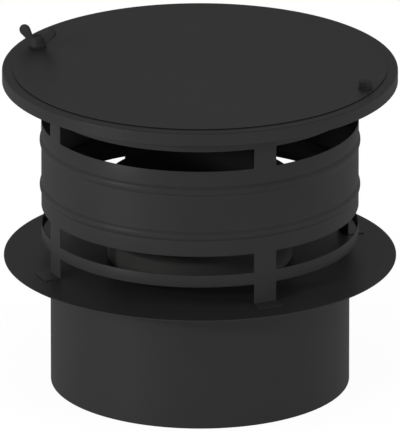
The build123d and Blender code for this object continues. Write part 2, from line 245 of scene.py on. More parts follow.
@dataclass(frozen=True)
class HeatPaint(Finish):
    """Heat-resistant black stove paint on the flue pipe: dull, finely grained, a little uneven."""

    roughness: float = 0.82
    specular: float = 0.2
    grain_width: float = 0.35 * MM
    grain_height: float = 0.006 * MM
    cloud_width: float = 30 * MM

    def pattern(self, tree: NodeTree, place: NodeSocket) -> Pattern:
        """Clouds of tone and a fine sprayed grain.

        Args:
            tree: The material's tree.
            place: Gives the object coordinates of a point.

        Returns:
            The clouds, with the grain's relief.
        """
        clouds, grain = [
            add_node(tree, "ShaderNodeTexNoise", {"Vector": place, "Scale": 1 / width, "Detail": 3.0})
            for width in (self.cloud_width, self.grain_width)
        ]
        surface = add_node(tree, "ShaderNodeBump", {"Distance": self.grain_height, "Height": grain})
        return clouds, {
            "Normal": surface, "Roughness": self.roughness, "Specular IOR Level": self.specular,
        }


@dataclass(frozen=True)
class Galvanised(Finish):
    """Hot-dip zinc on sheet: pale grey metal with faceted crystals, the spangle."""

    crystal_width: float = 7 * MM
    crystal_height: float = 0.004 * MM
    roughness_low: float = 0.34
    roughness_high: float = 0.52

    def pattern(self, tree: NodeTree, place: NodeSocket) -> Pattern:
        """Voronoi cells, the crystals, that differ in tone and dullness.

        Args:
            tree: The material's tree.
            place: Gives the object coordinates of a point.

        Returns:
            The crystals' tone, with their dullness and relief.
        """
        cells = add_node(tree, "ShaderNodeTexVoronoi", {"Vector": place, "Scale": 1 / self.crystal_width})
        tone = add_node(tree, "ShaderNodeSeparateColor", {0: cells.outputs["Color"]}).outputs
        dull = {"Value": tone[1], "To Min": self.roughness_low, "To Max": self.roughness_high}
        roughness = add_node(tree, "ShaderNodeMapRange", dull)
        relief = {"Distance": self.crystal_height, "Height": cells.outputs["Distance"]}
        surface = add_node(tree, "ShaderNodeBump", relief)
        return tone[0], {"Roughness": roughness, "Normal": surface, "Metallic": 1.0}


@dataclass(frozen=True)
class ZincPlated(Finish):
    """Bright zinc plating on turned steel: cool pale metal with fine turning marks and stains."""

    mark_pitch: float = 0.5 * MM
    mark_height: float = 0.003 * MM
    stain_width: float = 4 * MM
    roughness_low: float = 0.26
    roughness_high: float = 0.42
    mark_waver: float = 0.4  # how unevenly the turning marks run

    def pattern(self, tree: NodeTree, place: NodeSocket) -> Pattern:
        """Stains of tone and rings of turning marks up the part.

        Args:
            tree: The material's tree.
            place: Gives the object coordinates of a point.

        Returns:
            The stains, with their dullness and the marks' relief.
        """
        spots = {"Vector": place, "Scale": 1 / self.stain_width, "Detail": 4.0}
        stains = add_node(tree, "ShaderNodeTexNoise", spots)
        dull = {"Value": stains, "To Min": self.roughness_low, "To Max": self.roughness_high}
        roughness = add_node(tree, "ShaderNodeMapRange", dull)
        scale = math.pi / 10 / self.mark_pitch  # a wave of scale one repeats every pi / 10
        rings = {"Vector": place, "Scale": scale, "Distortion": self.mark_waver}
        marks = add_node(tree, "ShaderNodeTexWave", rings, bands_direction="Z").outputs[1]
        surface = add_node(tree, "ShaderNodeBump", {"Distance": self.mark_height, "Height": marks})
        return stains, {"Roughness": roughness, "Normal": surface, "Metallic": 1.0}


@dataclass(frozen=True)
class RockWool(Finish):
    """Bound stone fibre: matt yellow-brown felt of short crossing fibres with darker binder spots."""

    fibre_width: float = 0.6 * MM
    fibre_stretch: float = 7.0
    fibre_height: float = 0.35 * MM
    fibre_tilts: tuple[float, float] = (0.5, -0.6)
    fibre_turn: float = 0.3
    clump_width: float = 9 * MM
    tone_range: tuple[float, float] = (0.12, 0.45)  # products of noise at which the felt is dark and pale
    roughness: float = 0.95
    specular: float = 0.1
    sheen: float = 0.15

    def pattern(self, tree: NodeTree, place: NodeSocket) -> Pattern:
        """Two crossed sets of stretched noise, the fibres, over broad clumps.

        Args:
            tree: The material's tree.
            place: Gives the object coordinates of a point.

        Returns:
            The felt's tone, with the fibres' relief.
        """
        broad = {"Vector": place, "Scale": 1 / self.clump_width, "Detail": 4.0}
        clumps = add_node(tree, "ShaderNodeTexNoise", broad)
        fibres = []
        for tilt in self.fibre_tilts:
            lay = {"Rotation": (tilt, tilt, self.fibre_turn), "Scale": (1, self.fibre_stretch, 1)}
            layer = add_node(tree, "ShaderNodeMapping", {"Vector": place, **lay})
            grain = {"Vector": layer, "Scale": 1 / (self.fibre_width * self.fibre_stretch), "Detail": 3.0}
            fibres.append(add_node(tree, "ShaderNodeTexNoise", grain))
        felt = add_node(tree, "ShaderNodeMath", {0: fibres[0], 1: fibres[1]}, operation="MAXIMUM")
        both = add_node(tree, "ShaderNodeMath", {0: felt, 1: clumps}, operation="MULTIPLY")
        low, high = self.tone_range
        tone = add_node(tree, "ShaderNodeMapRange", {"Value": both, "From Min": low, "From Max": high})
        surface = add_node(tree, "ShaderNodeBump", {"Distance": self.fibre_height, "Height": felt})
        return tone, {
            "Normal": surface, "Roughness": self.roughness, "Specular IOR Level": self.specular,
            "Sheen Weight": self.sheen,
        }


FINISHES = {
    Slot.SHEET: PowderCoat("satin_black_powder_on_sheet", "#292929", "#2d2d2d", 0.85, 0.17, 0.42),
    Slot.BLACK_FASTENERS: PowderCoat(
        "black_coated_steel", "#29292a", "#2d2d2d", 0.8, 0.14, 0.5, peel_width=0.9 * MM, film_width=6 * MM
    ),
    Slot.PIPE: HeatPaint("black_stove_paint", "#262626", "#2d2d2c"),
    Slot.ZINC_SHEET: Galvanised("hot_dip_galvanised_sheet", "#9fa3a6", "#bfc3c6"),
    Slot.ZINC_FASTENERS: ZincPlated("bright_zinc_plating", "#a9acb0", "#c6c8c9"),
    Slot.WOOL: RockWool("bound_stone_wool", "#6f5a2e", "#b39a5c"),
}


@cache
def material_of(slot: Slot) -> Material:
    """Make the material of a slot's finish once and hand out the same one after that."""
    return FINISHES[slot].material()


# What the frame's solids measure

def corners_of(node: str, axis_x: float = 0.0, turned_by: float = 0.0) -> np.ndarray:
    """The corners of a CAD node in a frame of its own.

    Args:
        node: The node's name.
        axis_x: Where on the X axis the own frame's axis stands.
        turned_by: The plan angle that the own frame's first axis points to.

    Returns:
        One row for each corner: out along that direction, across it, and up.
    """
    points = np.array([vertex.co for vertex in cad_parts[node].data.vertices])
    east = points[:, 0] - axis_x
    north = points[:, 1]
    out = east * math.cos(turned_by) + north * math.sin(turned_by)
    across = north * math.cos(turned_by) - east * math.sin(turned_by)
    return np.column_stack((out, across, points[:, 2]))


def distinct(values: np.ndarray) -> list[float]:
    """The different values among many, smallest first, where nearly equal ones count as one.

    Args:
        values: The values, in any order.

    Returns:
        The different ones.
    """
    found: list[float] = []
    for value in np.sort(values):
        if not found or value - found[-1] > SAME:
            found.append(float(value))
    return found


def middle_x(node: str) -> float:
    """Where the middle of a node stands on the X axis."""
    low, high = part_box(node)
    return (low.x + high.x) / 2


@dataclass(frozen=True)
class Turned:
    """How far a round CAD node reaches from its own axis, and between which heights."""

    inner: float
    outer: float
    low: float
    high: float

    @classmethod
    def of(cls, node: str, axis_x: float = 0.0, above: float = -1.0, below: float = 1.0) -> "Turned":
        """Measure a node, or the part of it between two heights.

        Args:
            node: The node's name.
            axis_x: Where on the X axis the node's own axis stands.
            above: Corners under this height are left out.
            below: Corners over this height are left out.

        Returns:
            The reach of the corners that are left.
        """
        points = corners_of(node, axis_x)
        points = points[(points[:, 2] > above) & (points[:, 2] < below)]
        radii = np.hypot(points[:, 0], points[:, 1])
        heights = points[:, 2]
        return cls(float(radii.min()), float(radii.max()), float(heights.min()), float(heights.max()))


# Outlines

@dataclass(frozen=True)
class Corner:
    """One corner of an outline: how far out, how high, and the radius that rounds it."""

    out: float
    up: float
    bend: float = SHEET_EDGE


def rounded(corners: Sequence[Corner], closed: bool = True) -> list[Point]:
    """Replace each corner by an arc, with a support point on each straight beside it.

    Args:
        corners: The corners in order, against the clock for a solid's outline.
        closed: Whether the last corner joins the first.

    Returns:
        The points of the rounded outline.
    """
    points: list[Point] = []
    count = len(corners)
    for index, corner in enumerate(corners):
        here = Vector((corner.out, corner.up))
        at_end = not closed and index in (0, count - 1)
        if at_end or corner.bend <= 0:
            points.append(tuple(here))
            continue
        before, after = corners[index - 1], corners[(index + 1) % count]
        back = Vector((before.out, before.up)) - here
        ahead = Vector((after.out, after.up)) - here
        spare_back, spare_ahead = back.length / 2, ahead.length / 2
        back.normalize()
        ahead.normalize()
        half = back.angle(ahead) / 2
        reach = corner.bend / math.tan(half)
        middle = here + (back + ahead).normalized() * corner.bend / math.sin(half)
        start = here + back * reach - middle
        sweep = math.pi - 2 * half
        if back.x * ahead.y - back.y * ahead.x > 0:
            sweep = -sweep
        steps = max(2, math.ceil(abs(sweep) / BEND_STEP))
        support = corner.bend / 2 + SHEET_EDGE / 2
        if spare_back > reach + support:
            points.append(tuple(here + back * (reach + support)))
        for step in range(steps + 1):
            angle = sweep * step / steps
            turned_start = Vector((
                start.x * math.cos(angle) - start.y * math.sin(angle),
                start.x * math.sin(angle) + start.y * math.cos(angle),
            ))
            points.append(tuple(middle + turned_start))
        if spare_ahead > reach + support:
            points.append(tuple(here + ahead * (reach + support)))
    return points


# Meshes

def linked(name: str, data: ID) -> Object:
    """Make an object of some data and link it to the scene.

    Args:
        name: The new object's name.
        data: Its mesh, camera or light.

    Returns:
        The object.
    """
    thing = bpy.data.objects.new(name, data)
    bpy.context.scene.collection.objects.link(thing)
    return thing


def piece_from(
    name: str, points: np.ndarray, faces: list[tuple[int, ...]], tidy: bool = False, edge: float = 0.0
) -> Object:
    """Make a mesh object, shaded smooth but for its sharp edges.

    Args:
        name: The new object's name.
        points: One row of coordinates for each corner.
        faces: Corner numbers of each face, against the clock seen from outside.
        tidy: Whether the faces still have to be turned outwards.
        edge: How far sharp edges are rounded.

    Returns:
        The object, linked to the scene, at the origin.
    """
    shape = bmesh.new()
    verts = [shape.verts.new(point) for point in points]
    for face in faces:
        shape.faces.new([verts[index] for index in face])
    bmesh.ops.remove_doubles(shape, verts=shape.verts, dist=WELD_DISTANCE)
    if tidy:
        bmesh.ops.recalc_face_normals(shape, faces=shape.faces)
    if edge:
        round_off(shape, edge)
    return object_from(name, shape)


def object_from(name: str, shape: bmesh.types.BMesh) -> Object:
    """Turn a bmesh into an object, shaded smooth but for its sharp edges.

    Args:
        name: The new object's name.
        shape: The shape, which is used up.

    Returns:
        The object.
    """
    mesh = bpy.data.meshes.new(name)
    shape.to_mesh(mesh)
    shape.free()
    return shade(linked(name, mesh))


def shade(piece: Object) -> Object:
    """Shade a piece smooth, with the edges that turn sharply left sharp.

    Args:
        piece: The piece.

    Returns:
        The same piece.
    """
    piece.data.shade_smooth()
    piece.data.set_sharp_from_angle(angle=SHARP_ANGLE)
    return piece


def skin(name: str, grid: np.ndarray, wrap_rows: bool, wrap_columns: bool) -> Object:
    """Cover a grid of points with four-cornered faces.

    Args:
        name: The new object's name.
        grid: Points by row and column. Seen from outside, rows run on to the left of columns.
        wrap_rows: Whether the last row joins the first. If not, both end rows are capped.
        wrap_columns: Whether the last column joins the first.

    Returns:
        The object.
    """
    rows, columns = grid.shape[:2]
    faces: list[tuple[int, ...]] = []
    for row in range(rows if wrap_rows else rows - 1):
        here, there = row * columns, (row + 1) % rows * columns
        for column in range(columns if wrap_columns else columns - 1):
            beside = (column + 1) % columns
            faces.append((here + column, there + column, there + beside, here + beside))
    if not wrap_rows:
        faces.append(tuple(range(columns)))
        faces.append(tuple(reversed(range((rows - 1) * columns, rows * columns))))
    return piece_from(name, grid.reshape(-1, 3), faces, tidy=not wrap_rows)


def lathe(
    name: str, outline: Outline | Callable[[float], Outline], axis_x: float = 0.0, facets: int = RING_FACETS
) -> Object:
    """Turn an outline round an upright axis.

    Args:
        name: The new object's name.
        outline: Points out from the axis and up, or a function that gives them for an angle.
            An outline that starts and ends on the axis is left open there.
        axis_x: Where on the X axis the turning axis stands.
        facets: How many faces go round.

    Returns:
        The turned object.
    """
    rows = []
    for step in range(facets):
        angle = 2 * math.pi * step / facets
        points = outline(angle) if callable(outline) else outline
        rows.append([
            (axis_x + out * math.cos(angle), out * math.sin(angle), up) for out, up in points
        ])
    grid = np.array(rows)
    on_axis = abs(grid[0, 0, 0] - axis_x) < WELD_DISTANCE
    return skin(name, grid, wrap_rows=True, wrap_columns=not on_axis)


def flats_radius(angle: float, across_flats: float, corner_limit: float, sides: int) -> float:
    """How far a regular prism reaches at an angle, with its corners rounded off.

    Args:
        angle: The plan angle. One corner points to angle zero.
        across_flats: The distance between two opposite flats.
        corner_limit: The largest distance from the axis.
        sides: How many flats there are.

    Returns:
        The distance from the axis to the surface.
    """
    side = 2 * math.pi / sides
    off_middle = angle % side - side / 2
    return min(across_flats / 2 / math.cos(off_middle), corner_limit)


def bent_bar(
    name: str, path: Sequence[Corner], width: float, thickness: float, plan_angle: float, edge: float
) -> Object:
    """Bend a flat bar with rounded edges along a path in an upright plane.

    Args:
        name: The new object's name.
        path: The middle line, as corners with the bend radius of the middle line.
        width: The bar's width, across the plane.
        thickness: The bar's thickness, in the plane.
        plan_angle: The direction in which the plane points away from the Z axis.
        edge: The rounding of the long edges and of the ends.

    Returns:
        The bent bar.
    """
    half_width, half_thickness = width / 2, thickness / 2
    section = rounded([
        Corner(-half_width, -half_thickness, edge), Corner(half_width, -half_thickness, edge),
        Corner(half_width, half_thickness, edge), Corner(-half_width, half_thickness, edge),
    ])
    across = np.array([point[0] for point in section])
    through = np.array([point[1] for point in section])
    line = [Vector(point) for point in rounded(path, closed=False)]
    first, last = (line[1] - line[0]).normalized(), (line[-1] - line[-2]).normalized()
    stations = [line[0], line[0] + first * edge, *line[1:-1], line[-1] - last * edge, line[-1]]
    rows = []
    for index, station in enumerate(stations):
        ahead = stations[min(index + 1, len(stations) - 1)] - stations[max(index - 1, 0)]
        ahead.normalize()
        normal = Vector((-ahead.y, ahead.x))
        at_end = index in (0, len(stations) - 1)
        slim_across = (1 - edge / half_width) if at_end else 1.0
        slim_through = (1 - edge / half_thickness) if at_end else 1.0
        out = station.x + normal.x * through * slim_through
        up = station.y + normal.y * through * slim_through
        rows.append(np.column_stack((out, across * slim_across, up)))
    grid = np.array(rows)
    turn = np.array(Matrix.Rotation(plan_angle, 3, "Z"))
    return skin(name, grid @ turn.T, wrap_rows=False, wrap_columns=True)


def joined(name: str, *pieces: Object) -> Object:
    """Put several pieces into one mesh and remove them.

    Args:
        name: The new object's name.
        *pieces: The pieces.

    Returns:
        The object that holds them all.
    """
    shape = bmesh.new()
    for piece in pieces:
        shape.from_mesh(piece.data)
        bpy.data.objects.remove(piece)
    return object_from(name, shape)


def made_plain(piece: Object) -> Object:
    """Turn what a piece's modifiers make into its own plain mesh.

    Args:
        piece: The piece, whose modifiers are removed.

    Returns:
        The same piece.
    """
    graph = bpy.context.evaluated_depsgraph_get()
    mesh = bpy.data.meshes.new_from_object(piece.evaluated_get(graph), depsgraph=graph)
    piece.modifiers.clear()
    piece.data = mesh
    return shade(piece)


def drilled(piece: Object, holes: Sequence[tuple[float, float]], low: float, high: float) -> Object:
    """Cut upright round holes.

    Args:
        piece: The piece that gets the holes.
        holes: For each hole its place on the X axis and its radius.
        low: Where the holes begin.
        high: Where they end.

    Returns:
        The same piece.
    """
    for axis_x, radius in holes:
        cutter = lathe("drill", [(0, low), (radius, low), (radius, high), (0, high)], axis_x, BOLT_FACETS)
        cut = piece.modifiers.new("hole", "BOOLEAN")
        cut.operation = "DIFFERENCE"
        cut.solver = "EXACT"
        cut.object = cutter
        made_plain(piece)
        bpy.data.objects.remove(cutter)
    return piece


def round_off(shape: bmesh.types.BMesh, edge: float) -> None:
    """Round the sharp edges of a closed shape.

    Args:
        shape: The shape, which is changed.
        edge: The rounding radius.
    """
    sharp = [side for side in shape.edges if side.is_manifold and side.calc_face_angle() > SHARP_ANGLE]
    bmesh.ops.bevel(
        shape, geom=sharp, offset=edge, offset_type="OFFSET", segments=3, profile=0.5, affect="EDGES"
    )
    bmesh.ops.triangulate(shape, faces=[face for face in shape.faces if len(face.verts) > 4])


def softened(name: str, node: str, edge: float) -> Object:
    """Copy a CAD node's mesh and round its sharp edges.

    Args:
        name: The new object's name.
        node: The CAD node.
        edge: The rounding radius.

    Returns:
        The softened copy.
    """
    shape = bmesh.new()
    shape.from_mesh(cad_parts[node].data)
    bmesh.ops.remove_doubles(shape, verts=shape.verts, dist=CAD_WELD_DISTANCE)
    bmesh.ops.dissolve_limit(shape, angle_limit=FLAT_ANGLE, verts=shape.verts, edges=shape.edges)
    round_off(shape, edge)
    return object_from(name, shape)


def install(piece: Object, body: Body, slot: Slot, *nodes: str) -> None:
    """Give a finished piece its material and its place in the frame.

    Args:
        piece: The piece, finished and in place.
        body: The body it moves with.
        slot: The record's slot it takes its finish from.
        *nodes: The CAD nodes it stands for.
    """
    piece.data.materials.clear()
    piece.data.materials.append(material_of(slot))
    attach(piece, body.value)
    if nodes:
        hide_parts(*nodes)
    log.info("%s: %d faces on %s", piece.name, len(piece.data.polygons), body.value)


def install_ring(
    name: str, node: str, body: Body, slot: Slot, axis_x: float = 0.0, edge: float = SHEET_EDGE,
    facets: int = RING_FACETS,
) -> None:
    """Turn a plain ring that stands for a CAD node and put it in place.

    Args:
        name: The new object's name.
        node: The CAD node, a tube, plate or washer.
        body: The body it moves with.
        slot: The slot of its finish.
        axis_x: Where on the X axis its axis stands.
        edge: The rounding of its edges.
        facets: How many faces go round.
    """
    ring = Turned.of(node, axis_x)
    outline = rounded([
        Corner(ring.inner, ring.low, edge), Corner(ring.outer, ring.low, edge),
        Corner(ring.outer, ring.high, edge), Corner(ring.inner, ring.high, edge),
    ])
    install(lathe(name, outline, axis_x, facets), body, slot, node)


# Geometry Nodes

def begin_tree(name: str, **sizes: str) -> tuple[NodeTree, Node]:
    """Start a Geometry Nodes tree.

    Args:
        name: The tree's name.
        **sizes: Its inputs, each as the label with underscores and the kind of socket.

    Returns:
        The tree and the node that gives its inputs.
    """
    tree = bpy.data.node_groups.new(name, "GeometryNodeTree")
    tree.interface.new_socket("Geometry", in_out="OUTPUT", socket_type="NodeSocketGeometry")
    tree.interface.new_socket("Geometry", in_out="INPUT", socket_type="NodeSocketGeometry")
    for label, kind in sizes.items():
        tree.interface.new_socket(label.replace("_", " "), in_out="INPUT", socket_type=kind)
    tree.interface.new_socket("Material", in_out="INPUT", socket_type="NodeSocketMaterial")
    return tree, tree.nodes.new("NodeGroupInput")


def end_tree(tree: NodeTree, entry: Node, made: Node) -> NodeTree:
    """End a tree in real meshes with a material.

    Args:
        tree: The tree.
        entry: The node that gives its inputs.
        made: The node that gives what the tree has made.

    Returns:
        The finished tree.
    """
    real = add_node(tree, "GeometryNodeRealizeInstances", {0: made})
    dress = {"Geometry": real, "Material": entry.outputs["Material"]}
    add_node(tree, "NodeGroupOutput", {0: add_node(tree, "GeometryNodeSetMaterial", dress)})
    return tree


def grown(piece: Object, tree: NodeTree, slot: Slot, **values) -> Object:
    """Run a tree on a piece and keep the result as a plain mesh.

    Args:
        piece: The object whose mesh the tree starts from.
        tree: The tree.
        slot: The slot whose finish it gives to what it makes.
        **values: The tree's inputs, with underscores in their labels.

    Returns:
        The same object.
    """
    modifier = piece.modifiers.new(tree.name, "NODES")
    modifier.node_group = tree
    given = {label.replace("_", " "): value for label, value in values.items()}
    given["Material"] = material_of(slot)
    for socket in tree.interface.items_tree:
        if socket.in_out == "INPUT" and socket.name in given:
            modifier[socket.identifier] = given[socket.name]
    piece.update_tag()
    return made_plain(piece)


def base_mesh(name: str, points: Sequence[Sequence[float]], chained: bool = False) -> Object:
    """A mesh of loose points, or of points chained by edges, for a tree to start from.

    Args:
        name: The new object's name.
        points: The points.
        chained: Whether an edge joins each point to the next.

    Returns:
        The object.
    """
    mesh = bpy.data.meshes.new(name)
    edges = [(index, index + 1) for index in range(len(points) - 1)] if chained else []
    mesh.from_pydata(points, edges, [])
    return linked(name, mesh)


@cache
def thread_tree() -> NodeTree:
    """A rolled screw thread: a rod whose surface falls and rises along a helix.

    Returns:
        The tree.
    """
    real, whole = "NodeSocketFloat", "NodeSocketInt"
    tree, entry = begin_tree(
        "rolled thread", Facets=whole, Steps=whole, Radius=real, Length=real, Pitch=real, Depth=real,
        Chamfer=real, Foot="NodeSocketVector",
    )
    size = entry.outputs
    rod = add_node(tree, "GeometryNodeMeshCylinder", {
        "Vertices": size["Facets"], "Side Segments": size["Steps"],
        "Radius": size["Radius"], "Depth": size["Length"],
    })
    place = add_node(tree, "GeometryNodeInputPosition")
    axes = add_node(tree, "ShaderNodeSeparateXYZ", {0: place}).outputs
    turn = add_node(tree, "ShaderNodeMath", {0: axes[1], 1: axes[0]}, operation="ARCTAN2")
    turns = add_node(tree, "ShaderNodeMath", {0: turn, 1: 2 * math.pi}, operation="DIVIDE")
    rise = add_node(tree, "ShaderNodeMath", {0: axes[2], 1: size["Pitch"]}, operation="DIVIDE")
    helix = add_node(tree, "ShaderNodeMath", {0: rise, 1: turns}, operation="SUBTRACT")
    wave = add_node(tree, "ShaderNodeMath", {0: helix, 1: 0.5}, operation="PINGPONG")
    depth = add_node(tree, "ShaderNodeMath", {0: size["Depth"], 1: 2.0}, operation="MULTIPLY")
    groove = add_node(tree, "ShaderNodeMath", {0: wave, 1: depth}, operation="MULTIPLY")
    off_middle = add_node(tree, "ShaderNodeMath", {0: axes[2]}, operation="ABSOLUTE")
    half = add_node(tree, "ShaderNodeMath", {0: size["Length"], 1: 0.5}, operation="MULTIPLY")
    to_end = add_node(tree, "ShaderNodeMath", {0: half, 1: off_middle}, operation="SUBTRACT")
    bevel = add_node(tree, "ShaderNodeMath", {0: size["Chamfer"], 1: to_end}, operation="SUBTRACT")
    cut = add_node(tree, "ShaderNodeMath", {0: groove, 1: bevel}, operation="MAXIMUM")
    left = add_node(tree, "ShaderNodeMath", {0: size["Radius"], 1: cut}, operation="SUBTRACT")
    share = add_node(tree, "ShaderNodeMath", {0: left, 1: size["Radius"]}, operation="DIVIDE")
    scale = add_node(tree, "ShaderNodeCombineXYZ", {0: share, 1: share, 2: 1.0})
    moved = add_node(tree, "ShaderNodeVectorMath", {0: place, 1: scale}, operation="MULTIPLY")
    cut_rod = add_node(tree, "GeometryNodeSetPosition", {"Geometry": rod, "Position": moved})
    lift = add_node(tree, "ShaderNodeCombineXYZ", {2: half})
    middle = add_node(tree, "ShaderNodeVectorMath", {0: size["Foot"], 1: lift}, operation="ADD")
    placed = add_node(tree, "GeometryNodeTransform", {"Geometry": cut_rod, "Translation": middle})
    return end_tree(tree, entry, placed)


@cache
def spot_tree() -> NodeTree:
    """Spot weld marks: a low round pad on each point, facing the way the point's attribute says.

    Returns:
        The tree.
    """
    tree, entry = begin_tree("spot welds", Diameter="NodeSocketFloat", Height="NodeSocketFloat")
    size = entry.outputs
    radius = add_node(tree, "ShaderNodeMath", {0: size["Diameter"], 1: 0.5}, operation="MULTIPLY")
    ball = add_node(tree, "GeometryNodeMeshUVSphere", {"Segments": 20, "Rings": 10, "Radius": radius})
    flat = add_node(tree, "ShaderNodeMath", {0: size["Height"], 1: radius}, operation="DIVIDE")
    scale = add_node(tree, "ShaderNodeCombineXYZ", {0: 1.0, 1: 1.0, 2: flat})
    pad = add_node(tree, "GeometryNodeTransform", {"Geometry": ball, "Scale": scale})
    facing = add_node(tree, "GeometryNodeInputNamedAttribute", {"Name": "facing"}, data_type="FLOAT_VECTOR")
    turn = add_node(tree, "FunctionNodeAlignRotationToVector", {"Vector": facing}, axis="Z")
    spread = {"Points": size["Geometry"], "Instance": pad, "Rotation": turn}
    return end_tree(tree, entry, add_node(tree, "GeometryNodeInstanceOnPoints", spread))


@cache
def seam_tree() -> NodeTree:
    """A welded lengthwise seam: a flat bead with crescent ripples that follows a path up a wall.

    The path lies in the YZ plane with Y out from the wall's axis, and the bead is then
    turned about the Z axis to its place.

    Returns:
        The tree.
    """
    real = "NodeSocketFloat"
    tree, entry = begin_tree(
        "weld seam", Width=real, Height=real, Ripple=real, Crescent=real, Turn="NodeSocketVector"
    )
    size = entry.outputs
    path = add_node(tree, "GeometryNodeMeshToCurve", {"Mesh": size["Geometry"]})
    step = add_node(tree, "ShaderNodeMath", {0: size["Ripple"], 1: RIPPLE_STEPS}, operation="DIVIDE")
    fine = add_node(tree, "GeometryNodeResampleCurve", {"Curve": path, "Length": step}, mode="LENGTH")
    half = add_node(tree, "ShaderNodeMath", {0: size["Width"], 1: 0.5}, operation="MULTIPLY")
    circle = add_node(tree, "GeometryNodeCurvePrimitiveCircle", {"Resolution": 18, "Radius": half})
    flat = add_node(tree, "ShaderNodeMath", {0: size["Height"], 1: half}, operation="DIVIDE")
    scale = add_node(tree, "ShaderNodeCombineXYZ", {0: flat, 1: 1.0, 2: 1.0})
    section = add_node(tree, "GeometryNodeTransform", {"Geometry": circle, "Scale": scale})
    along_path = {"Curve": fine, "Profile Curve": section, "Fill Caps": True}
    bead = add_node(tree, "GeometryNodeCurveToMesh", along_path)
    place = add_node(tree, "GeometryNodeInputPosition")
    axes = add_node(tree, "ShaderNodeSeparateXYZ", {0: place}).outputs
    square = add_node(tree, "ShaderNodeMath", {0: axes[0], 1: axes[0]}, operation="MULTIPLY")
    bow = add_node(tree, "ShaderNodeMath", {0: square, 1: size["Crescent"]}, operation="MULTIPLY")
    along = add_node(tree, "ShaderNodeMath", {0: axes[2], 1: bow}, operation="ADD")
    turns = add_node(tree, "ShaderNodeMath", {0: along, 1: size["Ripple"]}, operation="DIVIDE")
    phase = add_node(tree, "ShaderNodeMath", {0: turns, 1: 2 * math.pi}, operation="MULTIPLY")
    wave = add_node(tree, "ShaderNodeMath", {0: phase}, operation="SINE")
    depth = add_node(tree, "ShaderNodeMath", {0: size["Height"], 1: RIPPLE_DEPTH}, operation="MULTIPLY")
    lift = add_node(tree, "ShaderNodeMath", {0: wave, 1: depth}, operation="MULTIPLY")
    offset = add_node(tree, "ShaderNodeCombineXYZ", {1: lift})
    rippled = add_node(tree, "GeometryNodeSetPosition", {"Geometry": bead, "Offset": offset})
    placed = add_node(tree, "GeometryNodeTransform", {"Geometry": rippled, "Rotation": size["Turn"]})
    return end_tree(tree, entry, placed)


def threaded_rod(axis_x: float, radius: float, low: float, high: float, pitch: float) -> Object:
    """A stretch of screw thread with a chamfer at each end.

    Args:
        axis_x: Where on the X axis the rod stands.
        radius: The thread's outer radius.
        low: The height of its lower end.
        high: The height of its upper end.
        pitch: The rise of one turn.

    Returns:
        The rod.
    """
    foot = Vector((axis_x, 0, low))
    length = high - low
    return grown(
        base_mesh("thread", [tuple(foot)]), thread_tree(), Slot.BLACK_FASTENERS, Facets=BOLT_FACETS // 2,
        Steps=round(THREAD_STEPS * length / pitch), Radius=radius, Length=length, Pitch=pitch,
        Depth=THREAD_DEPTH * pitch, Chamfer=THREAD_CHAMFER, Foot=foot,
    )


def install_seam(name: str, wall: Outline, plan_angle: float, body: Body, slot: Slot) -> None:
    """Put a seam bead up the outside of a round wall.

    Args:
        name: The new object's name.
        wall: The wall's outer line, as points out and up.
        plan_angle: The direction in which the seam lies.
        body: The body it moves with.
        slot: The slot of its finish.
    """
    path = base_mesh(name, [(0, out, up) for out, up in wall], chained=True)
    turn = Vector((0, 0, plan_angle - math.pi / 2))
    bead = grown(
        path, seam_tree(), slot, Width=3.0 * MM, Height=0.3 * MM, Ripple=1.4 * MM, Crescent=0.35 / MM,
        Turn=turn,
    )
    install(bead, body, slot)


def install_spot_welds(name: str, places: Sequence[Vector], body: Body) -> None:
    """Put spot weld marks on the underside of a sheet, all as one object.

    Args:
        name: The new object's name.
        places: The middle of each mark.
        body: The body they move with.
    """
    marks = base_mesh(name, [tuple(place) for place in places])
    facing = marks.data.attributes.new("facing", "FLOAT_VECTOR", "POINT")
    for entry in facing.data:
        entry.vector = (0, 0, -1)
    marks = grown(marks, spot_tree(), Slot.SHEET, Diameter=4.5 * MM, Height=0.16 * MM)
    install(marks, body, Slot.SHEET)


def compass(plan_angle: float, out: float, across: float = 0.0, up: float = 0.0) -> Vector:
    """A point or direction given outwards and across along a plan angle.

    Args:
        plan_angle: The angle.
        out: How far out along it.
        across: How far across it, against the clock.
        up: How high.

    Returns:
        The point or direction.
    """
    east = out * math.cos(plan_angle) - across * math.sin(plan_angle)
    north = out * math.sin(plan_angle) + across * math.cos(plan_angle)
    return Vector((east, north, up))


def seam_line(out: float, low: float, high: float) -> list[Point]:
    """The line of a seam up a plain wall, ending a little short of the wall's edges."""
    return [(out, low + SEAM_MARGIN), (out, high - SEAM_MARGIN)]


# Sub-assemblies

